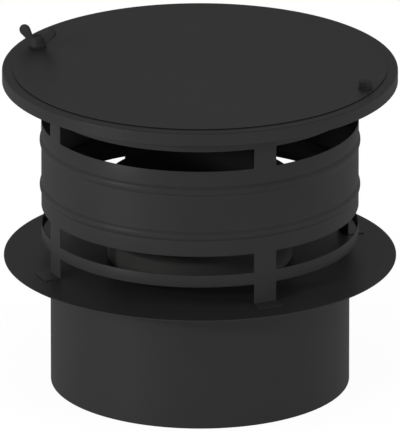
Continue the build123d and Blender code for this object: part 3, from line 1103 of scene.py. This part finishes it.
@dataclass
class InsulatedCasing:
    """The twin-wall lower part: casing, base ring, flue pipe, wool, clips and cover flange."""

    tube: Turned = Turned.of("outer_casing")
    base: Turned = Turned.of("base_ring")
    pipe: Turned = Turned.of("inner_pipe")
    wool: Turned = Turned.of("insulation")
    flange: Turned = Turned.of("flange_plate")
    bend: float = 1.4 * MM  # outer radius of the bends in thin sheet
    socket_bend: float = 4 * MM  # radius of the soft bends of the pipe's drawn socket
    pipe_edge: float = 0.3 * MM
    seam_angle: float = math.radians(112)
    pipe_seam_angle: float = math.radians(104)
    wool_bend: float = 3 * MM
    wool_edge: float = 0.3 * MM
    wool_lump: float = 1.6 * MM
    wool_lump_width: float = 11 * MM
    wool_tuft_width: float = 11 * MM / 3
    wool_tuft_share: float = 0.3  # of the lumps' depth
    wool_step: float = 2.5 * MM
    wool_facets: int = 180
    clip_count: int = 4

    def build(self) -> None:
        """Build all pieces of the casing and its flange."""
        install_ring("casing_tube", "outer_casing", Body.STACK, Slot.SHEET)
        line = seam_line(self.tube.outer, self.tube.low, self.tube.high)
        install_seam("casing_seam", line, self.seam_angle, Body.STACK, Slot.SHEET)
        self.build_base()
        self.build_pipe()
        self.build_wool()
        self.build_clips()
        install_ring("cover_flange", "flange_plate", Body.STACK, Slot.SHEET)

    def build_base(self) -> None:
        """The channel-shaped ring plate that closes the lower end."""
        base = self.base
        rims = distinct(np.hypot(*corners_of("base_ring")[:, :2].T))
        sheet = rims[1] - rims[0]
        inside = self.bend - sheet
        outline = rounded([
            Corner(base.inner, base.low, self.bend), Corner(base.outer, base.low, self.bend),
            Corner(base.outer, base.high), Corner(base.outer - sheet, base.high),
            Corner(base.outer - sheet, base.low + sheet, inside),
            Corner(base.inner + sheet, base.low + sheet, inside),
            Corner(base.inner + sheet, base.high), Corner(base.inner, base.high),
        ])
        ring = lathe("casing_floor_ring", outline)
        install(ring, Body.STACK, Slot.ZINC_SHEET, "base_ring")

    def build_pipe(self) -> None:
        """The flue pipe with its widened socket and its seam."""
        pipe = self.pipe
        levels = distinct(corners_of("inner_pipe")[:, 2])
        socket_top, taper_top = levels[1], levels[2]
        plain = Turned.of("inner_pipe", above=taper_top - SAME)
        socket_inner = pipe.outer - (plain.outer - plain.inner)
        bend = self.socket_bend
        outline = rounded([
            Corner(socket_inner, pipe.low), Corner(pipe.outer, pipe.low),
            Corner(pipe.outer, socket_top, bend), Corner(plain.outer, taper_top, bend),
            Corner(plain.outer, pipe.high, self.pipe_edge), Corner(plain.inner, pipe.high, self.pipe_edge),
            Corner(plain.inner, taper_top, bend), Corner(socket_inner, socket_top, bend),
        ])
        install(lathe("flue_pipe", outline), Body.STACK, Slot.PIPE, "inner_pipe")
        line = seam_line(plain.outer, self.flange.high, pipe.high)
        install_seam("flue_pipe_seam", line, self.pipe_seam_angle, Body.STACK, Slot.PIPE)

    def build_wool(self) -> None:
        """The wool ring, lumpy and drawn in a little everywhere so that it clears the sheets."""
        wool = self.wool
        points = corners_of("insulation")
        _, skirt_top, socket_top, taper_top = distinct(points[:, 2])[:4]
        socket_inner = distinct(np.hypot(*points[:, :2].T))[1]
        skirt = Turned.of("insulation", below=wool.low + SAME)
        socket = Turned.of("insulation", above=skirt_top - SAME, below=skirt_top + SAME)
        narrow = Turned.of("insulation", above=taper_top - SAME)
        bend, edge = self.wool_bend, self.wool_edge
        corners = [
            Corner(skirt.inner, wool.low, bend), Corner(skirt.outer, wool.low, bend),
            Corner(skirt.outer, skirt_top, edge), Corner(socket.outer, skirt_top, edge),
            Corner(socket.outer, wool.high, bend), Corner(narrow.inner, wool.high, bend),
            Corner(narrow.inner, taper_top, bend), Corner(socket_inner, socket_top, bend),
            Corner(socket_inner, skirt_top, edge), Corner(skirt.inner, skirt_top, edge),
        ]
        outline = finely_divided(rounded(corners), self.wool_step)
        ring = lathe("wool_ring", outline, facets=self.wool_facets)
        ring.data.vertices.foreach_set("co", self.lumpy(ring).ravel())
        install(ring, Body.STACK, Slot.WOOL, "insulation")

    def lumpy(self, ring: Object) -> np.ndarray:
        """Sink the wool's surface by noise.

        Args:
            ring: The smooth wool ring.

        Returns:
            The new coordinates of its corners.
        """
        moved = []
        for vertex in ring.data.vertices:
            clump = noise.noise(vertex.co / self.wool_lump_width) / 2 + 0.5
            tuft = noise.noise(vertex.co / self.wool_tuft_width) / 2 + 0.5
            sink = self.wool_lump * ((1 - self.wool_tuft_share) * clump + self.wool_tuft_share * tuft)
            moved.append(vertex.co - vertex.normal * sink)
        return np.array(moved)

    def build_clips(self) -> None:
        """The four bent clips that keep the pipe in the middle."""
        points = corners_of("centring_clips")
        points = points[(points[:, 0] > 0) & (abs(points[:, 1]) < self.pipe.inner / 2)]
        low, high = points[:, 2].min(), points[:, 2].max()
        near, far = points[:, 0].min(), points[:, 0].max()
        width = points[:, 1].max() - points[:, 1].min()
        sheet = distinct(points[:, 2])[1] - low
        middle_bend = self.bend - sheet / 2
        path = [
            Corner(near + sheet / 2, high), Corner(near + sheet / 2, low + sheet / 2, middle_bend),
            Corner(far - sheet / 2, low + sheet / 2, middle_bend), Corner(far - sheet / 2, high),
        ]
        clips = [
            bent_bar(f"clip_{side}", path, width, sheet, side * 2 * math.pi / self.clip_count, SHEET_EDGE)
            for side in range(self.clip_count)
        ]
        install(joined("pipe_clips", *clips), Body.STACK, Slot.ZINC_SHEET, "centring_clips")


def finely_divided(outline: Outline, step: float) -> list[Point]:
    """Put more points on the long straights of a closed outline.

    Args:
        outline: The outline's points.
        step: The longest stretch that may stay.

    Returns:
        The outline with every stretch at most that long.
    """
    points: list[Point] = []
    for index, start in enumerate(outline):
        end = outline[(index + 1) % len(outline)]
        parts = max(1, math.ceil(math.dist(start, end) / step))
        for part in range(parts):
            share = part / parts
            points.append((start[0] + (end[0] - start[0]) * share, start[1] + (end[1] - start[1]) * share))
    return points


@dataclass
class Cage:
    """The open cage: one rolled and beaded sheet with two rows of windows, feet and a ring plate."""

    lower: Turned = Turned.of("lower_ring")
    band: Turned = Turned.of("wind_band")
    neck: Turned = Turned.of("neck_ring")
    upright_count: int = 4
    upright_first_angle: float = math.radians(45)
    upright_facets: int = 7
    foot_bend: float = 0.4 * MM  # on the side that is seen from outside
    foot_steps: int = 6
    bead_fillet: float = 1.0 * MM
    bead_steps: int = 12
    plate_edge: float = 0.3 * MM
    seam_angle: float = math.radians(118)
    weld_spread: float = 10.0 * MM  # between the two spot welds of a foot

    def build(self) -> None:
        """Build all pieces of the cage."""
        self.build_sheet()
        plate = softened("ring_plate", "top_ring", self.plate_edge)
        install(plate, Body.STACK, Slot.SHEET, "top_ring")
        self.build_seams()
        self.build_spot_welds()

    @property
    def sheet(self) -> float:
        """The thickness of the cage's sheet."""
        return self.lower.outer - self.lower.inner

    @property
    def radius(self) -> float:
        """The outside of the sheet between its beads."""
        return self.lower.outer

    def upright_angle(self, number: int) -> float:
        """The plan angle of an upright's middle, counted from zero."""
        return self.upright_first_angle + number * 2 * math.pi / self.upright_count

    def foot_reach(self) -> tuple[float, float, float]:
        """Measure an upright.

        Returns:
            The radius of its foot's end, the height of its underside and half its plan angle.
        """
        points = corners_of("upright_1", turned_by=self.upright_angle(0))
        end = np.hypot(points[:, 0], points[:, 1]).max()
        half_angle = np.arctan2(points[:, 1], points[:, 0]).max()
        return float(end), float(points[:, 2].min()), float(half_angle)

    def beads(self) -> list[Corner]:
        """The outer line of the band from its lower to its upper edge, beads included.

        Returns:
            The corners of the line.
        """
        points = corners_of("wind_band")
        radii = np.hypot(points[:, 0], points[:, 1])
        rise = self.band.outer - self.radius
        levels = distinct(points[abs(radii - self.radius) < SAME][:, 2])
        line = [Corner(self.radius, self.band.low)]
        for start, end in (levels[1:3], levels[3:5]):
            half = (end - start) / 2
            radius = (half ** 2 + rise ** 2) / (2 * rise)
            spread = math.asin(half / radius)
            line.append(Corner(self.radius, start, self.bead_fillet))
            for step in range(1, self.bead_steps):
                angle = -spread + 2 * spread * step / self.bead_steps
                out = self.radius + rise - radius * (1 - math.cos(angle))
                line.append(Corner(out, start + half + radius * math.sin(angle), 0))
            line.append(Corner(self.radius, end, self.bead_fillet))
        line.append(Corner(self.radius, self.band.high))
        return line

    def wall_lines(self) -> tuple[list[Point], list[Point]]:
        """The sheet's section from the foot's end to the cage's upper edge.

        Returns:
            The line of the side that is seen from outside, and that of the other side.
        """
        foot_end, foot_low, _ = self.foot_reach()
        middle = (self.radius + self.foot_bend, foot_low + self.sheet + self.foot_bend)
        front = [(foot_end, foot_low + self.sheet)]
        back = [(foot_end, foot_low)]
        for step in range(self.foot_steps + 1):
            turn = math.pi / 2 * (1 - step / self.foot_steps)
            for line, reach in ((front, self.foot_bend), (back, self.foot_bend + self.sheet)):
                line.append((middle[0] - reach * math.cos(turn), middle[1] - reach * math.sin(turn)))
        wall = [(self.radius, self.lower.low), (self.radius, self.lower.high)]
        wall += rounded(self.beads(), closed=False)
        wall += [(self.radius, self.neck.low), (self.radius, self.neck.high)]
        front += wall
        back += [(out - self.sheet, up) for out, up in wall]
        return front, back

    def column_angles(self) -> tuple[list[float], list[bool]]:
        """Divide the sheet all round so that each upright's edges fall on a division.

        Returns:
            The plan angle of each division, and whether an upright follows it.
        """
        _, _, half_angle = self.foot_reach()
        quarter = 2 * math.pi / self.upright_count
        open_facets = RING_FACETS // self.upright_count - self.upright_facets
        angles: list[float] = []
        solid: list[bool] = []
        for number in range(self.upright_count):
            start = self.upright_angle(number) - half_angle
            for step in range(self.upright_facets):
                angles.append(start + 2 * half_angle * step / self.upright_facets)
                solid.append(True)
            for step in range(open_facets):
                angles.append(start + 2 * half_angle + (quarter - 2 * half_angle) * step / open_facets)
                solid.append(False)
        return angles, solid

    def build_sheet(self) -> None:
        """The rolled sheet: a grid of cells left open at the windows, with edges all round them."""
        front, back = self.wall_lines()
        angles, upright = self.column_angles()
        rows, columns = len(front), len(angles)
        sides = [
            [(out * math.cos(angle), out * math.sin(angle), up) for out, up in line for angle in angles]
            for line in (front, back)
        ]
        in_ring = [self.in_ring((front[row][1] + front[row + 1][1]) / 2) for row in range(rows - 1)]

        def filled(row: int, column: int) -> bool:
            """Whether the cell above a row and after a column is sheet."""
            return 0 <= row < rows - 1 and (in_ring[row] or upright[column % columns])

        shift = rows * columns
        faces: list[tuple[int, ...]] = []
        for row in range(rows - 1):
            for column in range(columns):
                if not filled(row, column):
                    continue
                beside = (column + 1) % columns
                low, low_beside = row * columns + column, row * columns + beside
                high, high_beside = low + columns, low_beside + columns
                faces.append((low, low_beside, high_beside, high))
                faces.append((low + shift, high + shift, high_beside + shift, low_beside + shift))
                for start, end, next_row, next_column in (
                    (low, low_beside, row - 1, column), (high_beside, high, row + 1, column),
                    (high, low, row, column - 1), (low_beside, high_beside, row, column + 1),
                ):
                    if not filled(next_row, next_column):
                        faces.append((start, start + shift, end + shift, end))
        cage = piece_from("cage_sheet", np.array(sides[0] + sides[1]), faces, edge=SHEET_EDGE)
        nodes = [f"upright_{number + 1}" for number in range(self.upright_count)]
        install(cage, Body.STACK, Slot.SHEET, "lower_ring", "wind_band", "neck_ring", *nodes)

    def in_ring(self, up: float) -> bool:
        """Whether the sheet runs all round at a height."""
        return any(ring.low < up < ring.high for ring in (self.lower, self.band, self.neck))

    def build_seams(self) -> None:
        """The sheet's lengthwise seam, in three stretches one above the other at the back."""
        low, high = self.band.low + SEAM_MARGIN, self.band.high - SEAM_MARGIN
        beads = [(out, min(max(up, low), high)) for out, up in rounded(self.beads(), closed=False)]
        for name, line in (
            ("low_ring_seam", seam_line(self.lower.outer, self.lower.low, self.lower.high)),
            ("upper_ring_seam", seam_line(self.neck.outer, self.neck.low, self.neck.high)),
            ("band_seam", beads),
        ):
            install_seam(name, line, self.seam_angle, Body.STACK, Slot.SHEET)

    def build_spot_welds(self) -> None:
        """Weld marks under the flange, where the feet are welded on from below."""
        foot_end, _, _ = self.foot_reach()
        under = Turned.of("flange_plate").low
        out = (self.radius + foot_end) / 2
        places = [
            compass(self.upright_angle(number), out, across, under)
            for number in range(self.upright_count)
            for across in (-self.weld_spread / 2, self.weld_spread / 2)
        ]
        install_spot_welds("foot_spot_welds", places, Body.STACK)


@dataclass
class RainHat:
    """The flat hat: a rim turned down from a ring, and the disc that covers it."""

    rim: Turned = Turned.of("rim_ring")
    lid: Turned = Turned.of("lid_disc")
    pivot_x: float = middle_x("pivot_bolt")
    clamp_x: float = middle_x("clamp_bolt")
    pivot_hole: float = 3.08 * MM
    clamp_hole: float = 3.5 * MM
    rim_bend: float = 1.5 * MM
    undercut: float = 0.7 * MM  # how far the disc's sheared edge slopes in under it
    lid_bevel: float = 0.1 * MM
    lid_edges: tuple[float, float, float] = (0.05 * MM, 0.04 * MM, 0.08 * MM)  # from below upwards
    seam_angle: float = math.radians(98)
    weld_count: int = 12
    first_weld_angle: float = math.radians(15)

    def build(self) -> None:
        """Build all pieces of the hat."""
        self.build_rim()
        self.build_lid()
        line = seam_line(self.rim.outer, self.rim.low, self.rim.high - MM)
        install_seam("rim_seam", line, self.seam_angle, Body.RAIN_HAT, Slot.SHEET)
        self.build_spot_welds()

    @property
    def sheet(self) -> float:
        """The thickness of the rim's sheet, which is also the disc's."""
        return self.lid.high - self.lid.low

    @property
    def holes(self) -> list[tuple[float, float]]:
        """Where on the X axis the bolts' holes are, and their radii."""
        return [(self.pivot_x, self.pivot_hole), (self.clamp_x, self.clamp_hole)]

    def build_rim(self) -> None:
        """The rim: a turned-down wall, a bend and a flat ring that carries the disc."""
        rim, sheet = self.rim, self.sheet
        under = rim.high - sheet
        wall = rim.outer - sheet
        outline = rounded([
            Corner(wall, rim.low), Corner(rim.outer, rim.low), Corner(rim.outer, rim.high, self.rim_bend),
            Corner(rim.inner, rim.high), Corner(rim.inner, under),
            Corner(wall, under, self.rim_bend - sheet),
        ])
        ring = drilled(lathe("hat_rim", outline), self.holes, under - MM, rim.high + MM)
        install(ring, Body.RAIN_HAT, Slot.SHEET, "rim_ring")

    def build_lid(self) -> None:
        """The disc, whose edge slopes in underneath so that a fine shadow runs round it."""
        lid = self.lid
        under_edge, side_edge, top_edge = self.lid_edges
        outline = rounded([
            Corner(0, lid.low, 0), Corner(lid.outer - self.undercut, lid.low, under_edge),
            Corner(lid.outer, lid.high - self.lid_bevel, side_edge),
            Corner(lid.outer - self.lid_bevel, lid.high, top_edge), Corner(0, lid.high, 0),
        ], closed=False)
        disc = drilled(lathe("hat_disc", outline), self.holes, lid.low - MM, lid.high + MM)
        install(disc, Body.RAIN_HAT, Slot.SHEET, "lid_disc")

    def build_spot_welds(self) -> None:
        """Weld marks under the rim's ring, where the disc is welded to it."""
        under = self.rim.high - self.sheet
        radius = (self.rim.inner + self.lid.outer) / 2
        places = [
            compass(self.first_weld_angle + step * 2 * math.pi / self.weld_count, radius, 0, under)
            for step in range(self.weld_count)
        ]
        install_spot_welds("hat_spot_welds", places, Body.RAIN_HAT)


@dataclass
class PivotBolt:
    """The hexagon bolt on which the hat turns, with its washers, sleeve and lock nut."""

    axis_x: float = middle_x("pivot_bolt")
    shank_radius: float = 3.0 * MM
    across_flats: float = 10.0 * MM
    pitch: float = 1.0 * MM
    corner_cut: float = 0.12 * MM  # how much the head's six corners are rounded off
    chamfer_slope: float = math.tan(math.radians(30))
    top_share: float = 0.95  # of the width across flats, for the flat tops of head and nut
    face_share: float = 0.96  # and for the washer face under the head
    face_height: float = 0.3 * MM
    head_edge: float = 0.1 * MM
    chamfer_edge: float = 0.08 * MM
    crown_out: float = 0.15 * MM
    crown_up: float = 0.03 * MM
    bore_gap: float = 0.05 * MM
    bore_chamfer: float = 0.3 * MM
    hex_step: float = 0.05 * MM  # from the collar up to the hexagon's lower chamfer
    collar_bend: float = 0.5 * MM
    collar_middle: float = 0.15 * MM  # how far the middle of that bend stands inside the corner
    washer_edge: float = 0.25 * MM

    def build(self) -> None:
        """Build all pieces of the pivot."""
        self.build_bolt()
        self.build_nut()
        for name, node, slot in (
            ("head_washer", "pivot_washer_top", Slot.BLACK_FASTENERS),
            ("nut_washer", "pivot_washer_bottom", Slot.ZINC_FASTENERS),
            ("pivot_spacer", "pivot_sleeve", Slot.ZINC_FASTENERS),
        ):
            install_ring(name, node, Body.STACK, slot, self.axis_x, self.washer_edge, BOLT_FACETS)

    @property
    def corner_limit(self) -> float:
        """How far the rounded corners of the hexagons reach."""
        return self.across_flats / math.sqrt(3) - self.corner_cut

    def build_bolt(self) -> None:
        """The head with its chamfered top and washer face, the shank, and the thread's end."""
        bolt = Turned.of("pivot_bolt", self.axis_x)
        head_low = Turned.of("pivot_washer_top", self.axis_x).high
        nut = Turned.of("pivot_nut", self.axis_x)
        top_radius = self.top_share * self.across_flats / 2
        face_radius = self.face_share * self.across_flats / 2
        face_top = head_low + self.face_height
        thread_top = nut.low + MM
        edge, bevel = self.head_edge, self.chamfer_edge

        def outline(angle: float) -> list[Point]:
            """The bolt's section at one plan angle.

            Args:
                angle: The plan angle.

            Returns:
                Points out and up, from the axis to the axis.
            """
            reach = flats_radius(angle, self.across_flats, self.corner_limit, sides=6)
            drop = (reach - top_radius) * self.chamfer_slope
            return [
                (0, thread_top), (self.shank_radius, thread_top), (self.shank_radius, head_low),
                (face_radius, head_low), (face_radius, face_top),
                (reach - edge, face_top), (reach, face_top + edge),
                (reach, bolt.high - drop - bevel), (reach - bevel, bolt.high - drop),
                (top_radius, bolt.high - self.crown_up), (top_radius - self.crown_out, bolt.high),
                (0, bolt.high),
            ]

        head = lathe("head", outline, self.axis_x, BOLT_FACETS)
        tail = threaded_rod(self.axis_x, self.shank_radius, bolt.low, thread_top, self.pitch)
        install(joined("hex_bolt", head, tail), Body.STACK, Slot.BLACK_FASTENERS, "pivot_bolt")

    def build_nut(self) -> None:
        """The lock nut: a hexagon with a crimped collar round its insert."""
        nut = Turned.of("pivot_nut", self.axis_x)
        hex_low = distinct(corners_of("pivot_nut")[:, 2])[1]
        bore = self.shank_radius + self.bore_gap
        collar = Turned.of("pivot_nut", self.axis_x, below=hex_low - SAME)
        crown_radius = self.top_share * self.across_flats / 2
        lead, bend, middle = self.bore_chamfer, self.collar_bend, self.collar_middle

        def outline(angle: float) -> list[Point]:
            """The nut's section at one plan angle.

            Args:
                angle: The plan angle.

            Returns:
                Points out and up.
            """
            reach = flats_radius(angle, self.across_flats, self.corner_limit, sides=6)
            drop = (reach - crown_radius) * self.chamfer_slope
            return [
                (bore, nut.low + lead), (bore + bend, nut.low), (collar.outer - bend, nut.low),
                (collar.outer - middle, nut.low + middle), (collar.outer, nut.low + bend),
                (collar.outer, hex_low), (reach, hex_low + drop + self.hex_step), (reach, nut.high - drop),
                (crown_radius, nut.high), (bore + lead, nut.high), (bore, nut.high - lead),
            ]

        body = lathe("lock_nut", outline, self.axis_x, BOLT_FACETS)
        install(body, Body.STACK, Slot.ZINC_FASTENERS, "pivot_nut")


@dataclass
class HatClamp:
    """What holds the hat shut: the cup-head bolt, its spacer, a washer and the wing nut."""

    axis_x: float = middle_x("clamp_bolt")
    shank_radius: float = 3.0 * MM
    pitch: float = 1.0 * MM
    neck_width: float = 5.8 * MM
    neck_corner: float = 3.9 * MM
    neck_height: float = 4.0 * MM
    neck_chamfer: float = 0.4 * MM
    cup_edge: float = 0.2 * MM
    cup_steps: int = 10
    core_share: float = 0.98  # of the shank's radius, where the neck ends inside the thread
    thread_overlap: float = 0.5 * MM
    hub_base: float = 7.2 * MM
    hub_top: float = 5.5 * MM
    hub_height: float = 8.0 * MM
    hub_low_edge: float = 0.3 * MM
    hub_high_edge: float = 0.6 * MM
    bore_gap: float = 0.08 * MM
    lobe_radius: float = 4.9 * MM
    lobe_out: float = 11.5 * MM
    lobe_up: float = 12.1 * MM
    wing_thickness: float = 2.4 * MM
    root_thickness: float = 3.4 * MM
    root_out: float = 5.0 * MM
    root_low: float = 0.6 * MM
    root_high: float = 7.4 * MM
    lobe_edge: float = 0.9 * MM
    lobe_steps: int = 40
    edge_layers: int = 4
    washer_edge: float = 0.2 * MM
    voxel: float = 0.26 * MM
    smoothing_rounds: int = 6
    smoothing_factor: float = 0.5

    def build(self) -> None:
        """Build all pieces of the clamp."""
        self.build_bolt()
        self.build_wing_nut()
        for name, node, slot in (
            ("wing_washer", "clamp_washer", Slot.BLACK_FASTENERS),
            ("clamp_spacer", "clamp_sleeve", Slot.ZINC_FASTENERS),
        ):
            install_ring(name, node, Body.RAIN_HAT, slot, self.axis_x, self.washer_edge, BOLT_FACETS)

    def build_bolt(self) -> None:
        """The cup head, the square neck that keeps the bolt from turning, and the thread."""
        bolt = Turned.of("clamp_bolt", self.axis_x)
        plate_low = Turned.of("top_ring").low
        head_radius = Turned.of("clamp_bolt", self.axis_x, below=plate_low + SAME).outer
        head_height = plate_low - bolt.low
        cup_radius = (head_radius ** 2 + head_height ** 2) / (2 * head_height)
        half_arc = math.asin(head_radius / cup_radius)
        dome = []
        for step in range(self.cup_steps):
            angle = half_arc * step / self.cup_steps
            dome.append((cup_radius * math.sin(angle), bolt.low + cup_radius * (1 - math.cos(angle))))
        neck_top = plate_low + self.neck_height
        edge = self.cup_edge

        def outline(angle: float) -> list[Point]:
            """The bolt's section at one plan angle, from its head to the top of its neck.

            Args:
                angle: The plan angle.

            Returns:
                Points out and up, from the axis to the axis.
            """
            reach = flats_radius(angle + math.pi / 4, self.neck_width, self.neck_corner, sides=4)
            return [
                *dome, (head_radius, plate_low - edge), (head_radius - edge, plate_low),
                (reach, plate_low), (reach, neck_top - self.neck_chamfer),
                (self.shank_radius * self.core_share, neck_top), (0, neck_top),
            ]

        head = lathe("cup_head", outline, self.axis_x, BOLT_FACETS)
        thread_low = neck_top - self.thread_overlap
        thread = threaded_rod(self.axis_x, self.shank_radius, thread_low, bolt.high, self.pitch)
        bolt_piece = joined("cup_head_bolt", head, thread)
        install(bolt_piece, Body.CLAMP_BOLT, Slot.BLACK_FASTENERS, "clamp_bolt")

    def wing(self, side: int, base: float) -> Object:
        """One wing: the hull of a round lobe with soft edges and a thicker root.

        Args:
            side: 1 for the wing towards +X and -1 for the other.
            base: The height on which the nut stands.

        Returns:
            The wing as a closed mesh.
        """
        shape = bmesh.new()
        half = self.wing_thickness / 2
        edge = self.lobe_edge
        for layer in range(-self.edge_layers, self.edge_layers + 1):
            tilt = math.pi / 2 * layer / self.edge_layers
            across = math.copysign(half - edge, layer) * bool(layer) + edge * math.sin(tilt)
            radius = self.lobe_radius - edge * (1 - math.cos(tilt))
            for step in range(self.lobe_steps):
                angle = 2 * math.pi * step / self.lobe_steps
                out = self.lobe_out + radius * math.cos(angle)
                up = base + self.lobe_up + radius * math.sin(angle)
                shape.verts.new((self.axis_x + side * out, across, up))
        for across in (-self.root_thickness / 2, self.root_thickness / 2):
            for up in (self.root_low, self.root_high):
                shape.verts.new((self.axis_x + side * self.root_out, across, base + up))
        hull = bmesh.ops.convex_hull(shape, input=shape.verts)
        bmesh.ops.delete(shape, geom=hull["geom_interior"], context="VERTS")
        return object_from("wing", shape)

    def build_wing_nut(self) -> None:
        """The cast wing nut: hub and wings melted into one soft form, then bored."""
        nut_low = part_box("wing_nut")[0].z
        hub_high = nut_low + self.hub_height
        hub = lathe("hub", rounded([
            Corner(0, nut_low, 0), Corner(self.hub_base, nut_low, self.hub_low_edge),
            Corner(self.hub_top, hub_high, self.hub_high_edge), Corner(0, hub_high, 0),
        ], closed=False), self.axis_x, BOLT_FACETS)
        nut = joined("cast_wing_nut", hub, self.wing(1, nut_low), self.wing(-1, nut_low))
        melt = nut.modifiers.new("melt", "REMESH")
        melt.mode = "VOXEL"
        melt.voxel_size = self.voxel
        soften = nut.modifiers.new("soften", "SMOOTH")
        soften.factor = self.smoothing_factor
        soften.iterations = self.smoothing_rounds
        made_plain(nut)
        bore = [(self.axis_x, self.shank_radius + self.bore_gap)]
        drilled(nut, bore, nut_low - MM, hub_high + MM)
        nut.data.shade_smooth()
        install(nut, Body.WING_NUT, Slot.BLACK_FASTENERS, "wing_nut")


# Studio

@dataclass(frozen=True)
class Softbox:
    """One soft lamp, placed round the object as the camera sees it."""

    name: str
    azimuth: float  # degrees from the camera's side, positive to the right
    elevation: float  # degrees
    distance: float
    width: float
    height: float
    watts: float
    in_gloss: bool = True  # shows in reflections


@dataclass
class Studio:
    """A pale floor, soft lamps and the camera at the photograph's angle."""

    azimuth: float = math.radians(20.8)
    elevation: float = math.radians(19.76)
    pixel: float = 0.8354 * MM  # real width of one pixel at the object's middle
    focal_length: float = 1600.0
    sensor: float = 36.0
    clip_end: float = 100.0
    aim_height: float = 143.6 * MM
    floor_size: float = 80.0
    floor_colour: str = "#f0f0f0"
    floor_roughness: float = 0.9
    floor_white: float = 0.88  # share of plain white in what camera and reflections see of the floor
    floor_glow: float = 1.07  # brings the open floor up to plain white
    world_light: float = 0.42
    room_white: float = 0.4  # how bright reflections show the room on the camera's side
    room_range: tuple[float, float] = (-0.2, 0.3)  # cosines from straight behind, where it fades to white
    lamps: tuple[Softbox, ...] = (
        Softbox("low_strip_left", -57, -0.5, 4.0, 0.6, 0.2, 62),
        Softbox("high_left", -40, 21, 2.4, 0.5, 0.15, 14, in_gloss=False),
        Softbox("high_far_left", -80, 21, 2.4, 0.5, 0.15, 6, in_gloss=False),
        Softbox("wide_right", 68, 6, 2.6, 2.2, 0.7, 36, in_gloss=False),
    )

    def towards(self, turn: float, lift: float) -> Vector:
        """The direction from the object turned and lifted by two angles from the camera's side."""
        return compass(self.azimuth + turn - math.pi / 2, math.cos(lift), up=math.sin(lift))

    def aim(self, thing: Object, direction: Vector, distance: float) -> None:
        """Place a camera or lamp in a direction from the object's middle, facing that middle."""
        thing.location = Vector((0, 0, self.aim_height)) + direction * distance
        thing.rotation_euler = (-direction).to_track_quat("-Z", "Y").to_euler()

    def build(self) -> None:
        """Build the studio."""
        self.build_camera()
        self.build_floor()
        self.build_world()
        for lamp in self.lamps:
            self.build_lamp(lamp)
        bpy.context.scene.view_settings.view_transform = "Standard"

    def build_camera(self) -> None:
        """A long lens far away, as the photograph shows hardly any perspective."""
        data = bpy.data.cameras.new("camera")
        data.lens = self.focal_length
        data.sensor_width = self.sensor
        data.clip_end = self.clip_end
        camera = linked("camera", data)
        bpy.context.scene.camera = camera
        longest = max(IMAGE_WIDTH, IMAGE_HEIGHT)
        distance = self.focal_length / self.sensor * longest * self.pixel
        self.aim(camera, self.towards(0, self.elevation), distance)

    def build_floor(self) -> None:
        """A wide pale floor that looks nearly white and keeps the object's shadow."""
        half = self.floor_size / 2
        corners = np.array([(-half, -half, 0), (half, -half, 0), (half, half, 0), (-half, half, 0)])
        floor = piece_from("studio_floor", corners, [(0, 1, 2, 3)])
        material = bpy.data.materials.new("pale_floor")
        material.use_nodes = True
        tree = material.node_tree
        shader = tree.nodes["Principled BSDF"]
        feed(tree, shader, {
            "Base Color": linear(self.floor_colour), "Roughness": self.floor_roughness,
            "Specular IOR Level": 0.0,
        })
        white = add_node(tree, "ShaderNodeEmission", {"Color": WHITE, "Strength": self.floor_glow})
        seen = {0: self.seen_ray(tree), 1: self.floor_white}
        share = add_node(tree, "ShaderNodeMath", seen, operation="MULTIPLY")
        mix = add_node(tree, "ShaderNodeMixShader", {0: share, 1: shader, 2: white})
        feed(tree, tree.nodes["Material Output"], {0: mix})
        floor.data.materials.append(material)

    def seen_ray(self, tree: NodeTree) -> Node:
        """One for what the camera sees, straight or in a reflection or through glass, else zero.

        Args:
            tree: The tree that gets the nodes.

        Returns:
            The node that gives the figure.
        """
        path = add_node(tree, "ShaderNodeLightPath")
        seen = {0: path.outputs["Is Camera Ray"], 1: path.outputs["Is Glossy Ray"]}
        either = add_node(tree, "ShaderNodeMath", seen, operation="MAXIMUM")
        through = {0: either, 1: path.outputs["Is Transmission Ray"]}
        return add_node(tree, "ShaderNodeMath", through, operation="MAXIMUM")

    def build_world(self) -> None:
        """Even grey light, plain white for the camera, and a dim room on its side in reflections."""
        world = bpy.data.worlds.new("studio_world")
        bpy.context.scene.world = world
        world.use_nodes = True
        tree = world.node_tree
        light = tree.nodes["Background"]
        feed(tree, light, {"Color": WHITE, "Strength": self.world_light})
        way = add_node(tree, "ShaderNodeTexCoord").outputs["Generated"]
        away = {0: way, 1: -self.towards(0, 0)}
        behind = add_node(tree, "ShaderNodeVectorMath", away, operation="DOT_PRODUCT")
        near, far = self.room_range
        shown = add_node(tree, "ShaderNodeMapRange", {
            "Value": behind.outputs["Value"], "From Min": near, "From Max": far,
            "To Min": self.room_white, "To Max": 1.0,
        })
        straight = add_node(tree, "ShaderNodeLightPath").outputs["Is Camera Ray"]
        strength = add_node(tree, "ShaderNodeMath", {0: straight, 1: shown}, operation="MAXIMUM")
        white = add_node(tree, "ShaderNodeBackground", {"Color": WHITE, "Strength": strength})
        mix = add_node(tree, "ShaderNodeMixShader", {0: self.seen_ray(tree), 1: light, 2: white})
        feed(tree, tree.nodes["World Output"], {0: mix})

    def build_lamp(self, lamp: Softbox) -> None:
        """Place one soft lamp, facing the object.

        Args:
            lamp: The lamp.
        """
        data = bpy.data.lights.new(lamp.name, "AREA")
        data.shape = "RECTANGLE"
        data.size = lamp.width
        data.size_y = lamp.height
        data.energy = lamp.watts
        light = linked(lamp.name, data)
        light.visible_glossy = lamp.in_gloss
        direction = self.towards(math.radians(lamp.azimuth), math.radians(lamp.elevation))
        self.aim(light, direction, lamp.distance)


def main() -> None:
    """Build the studio and every sub-assembly."""
    logging.basicConfig(level=logging.INFO, format="%(name)s: %(message)s")
    for assembly in (Studio(), InsulatedCasing(), Cage(), RainHat(), PivotBolt(), HatClamp()):
        log.info("building %s", type(assembly).__name__)
        assembly.build()


if __name__ == "__main__":
    main()
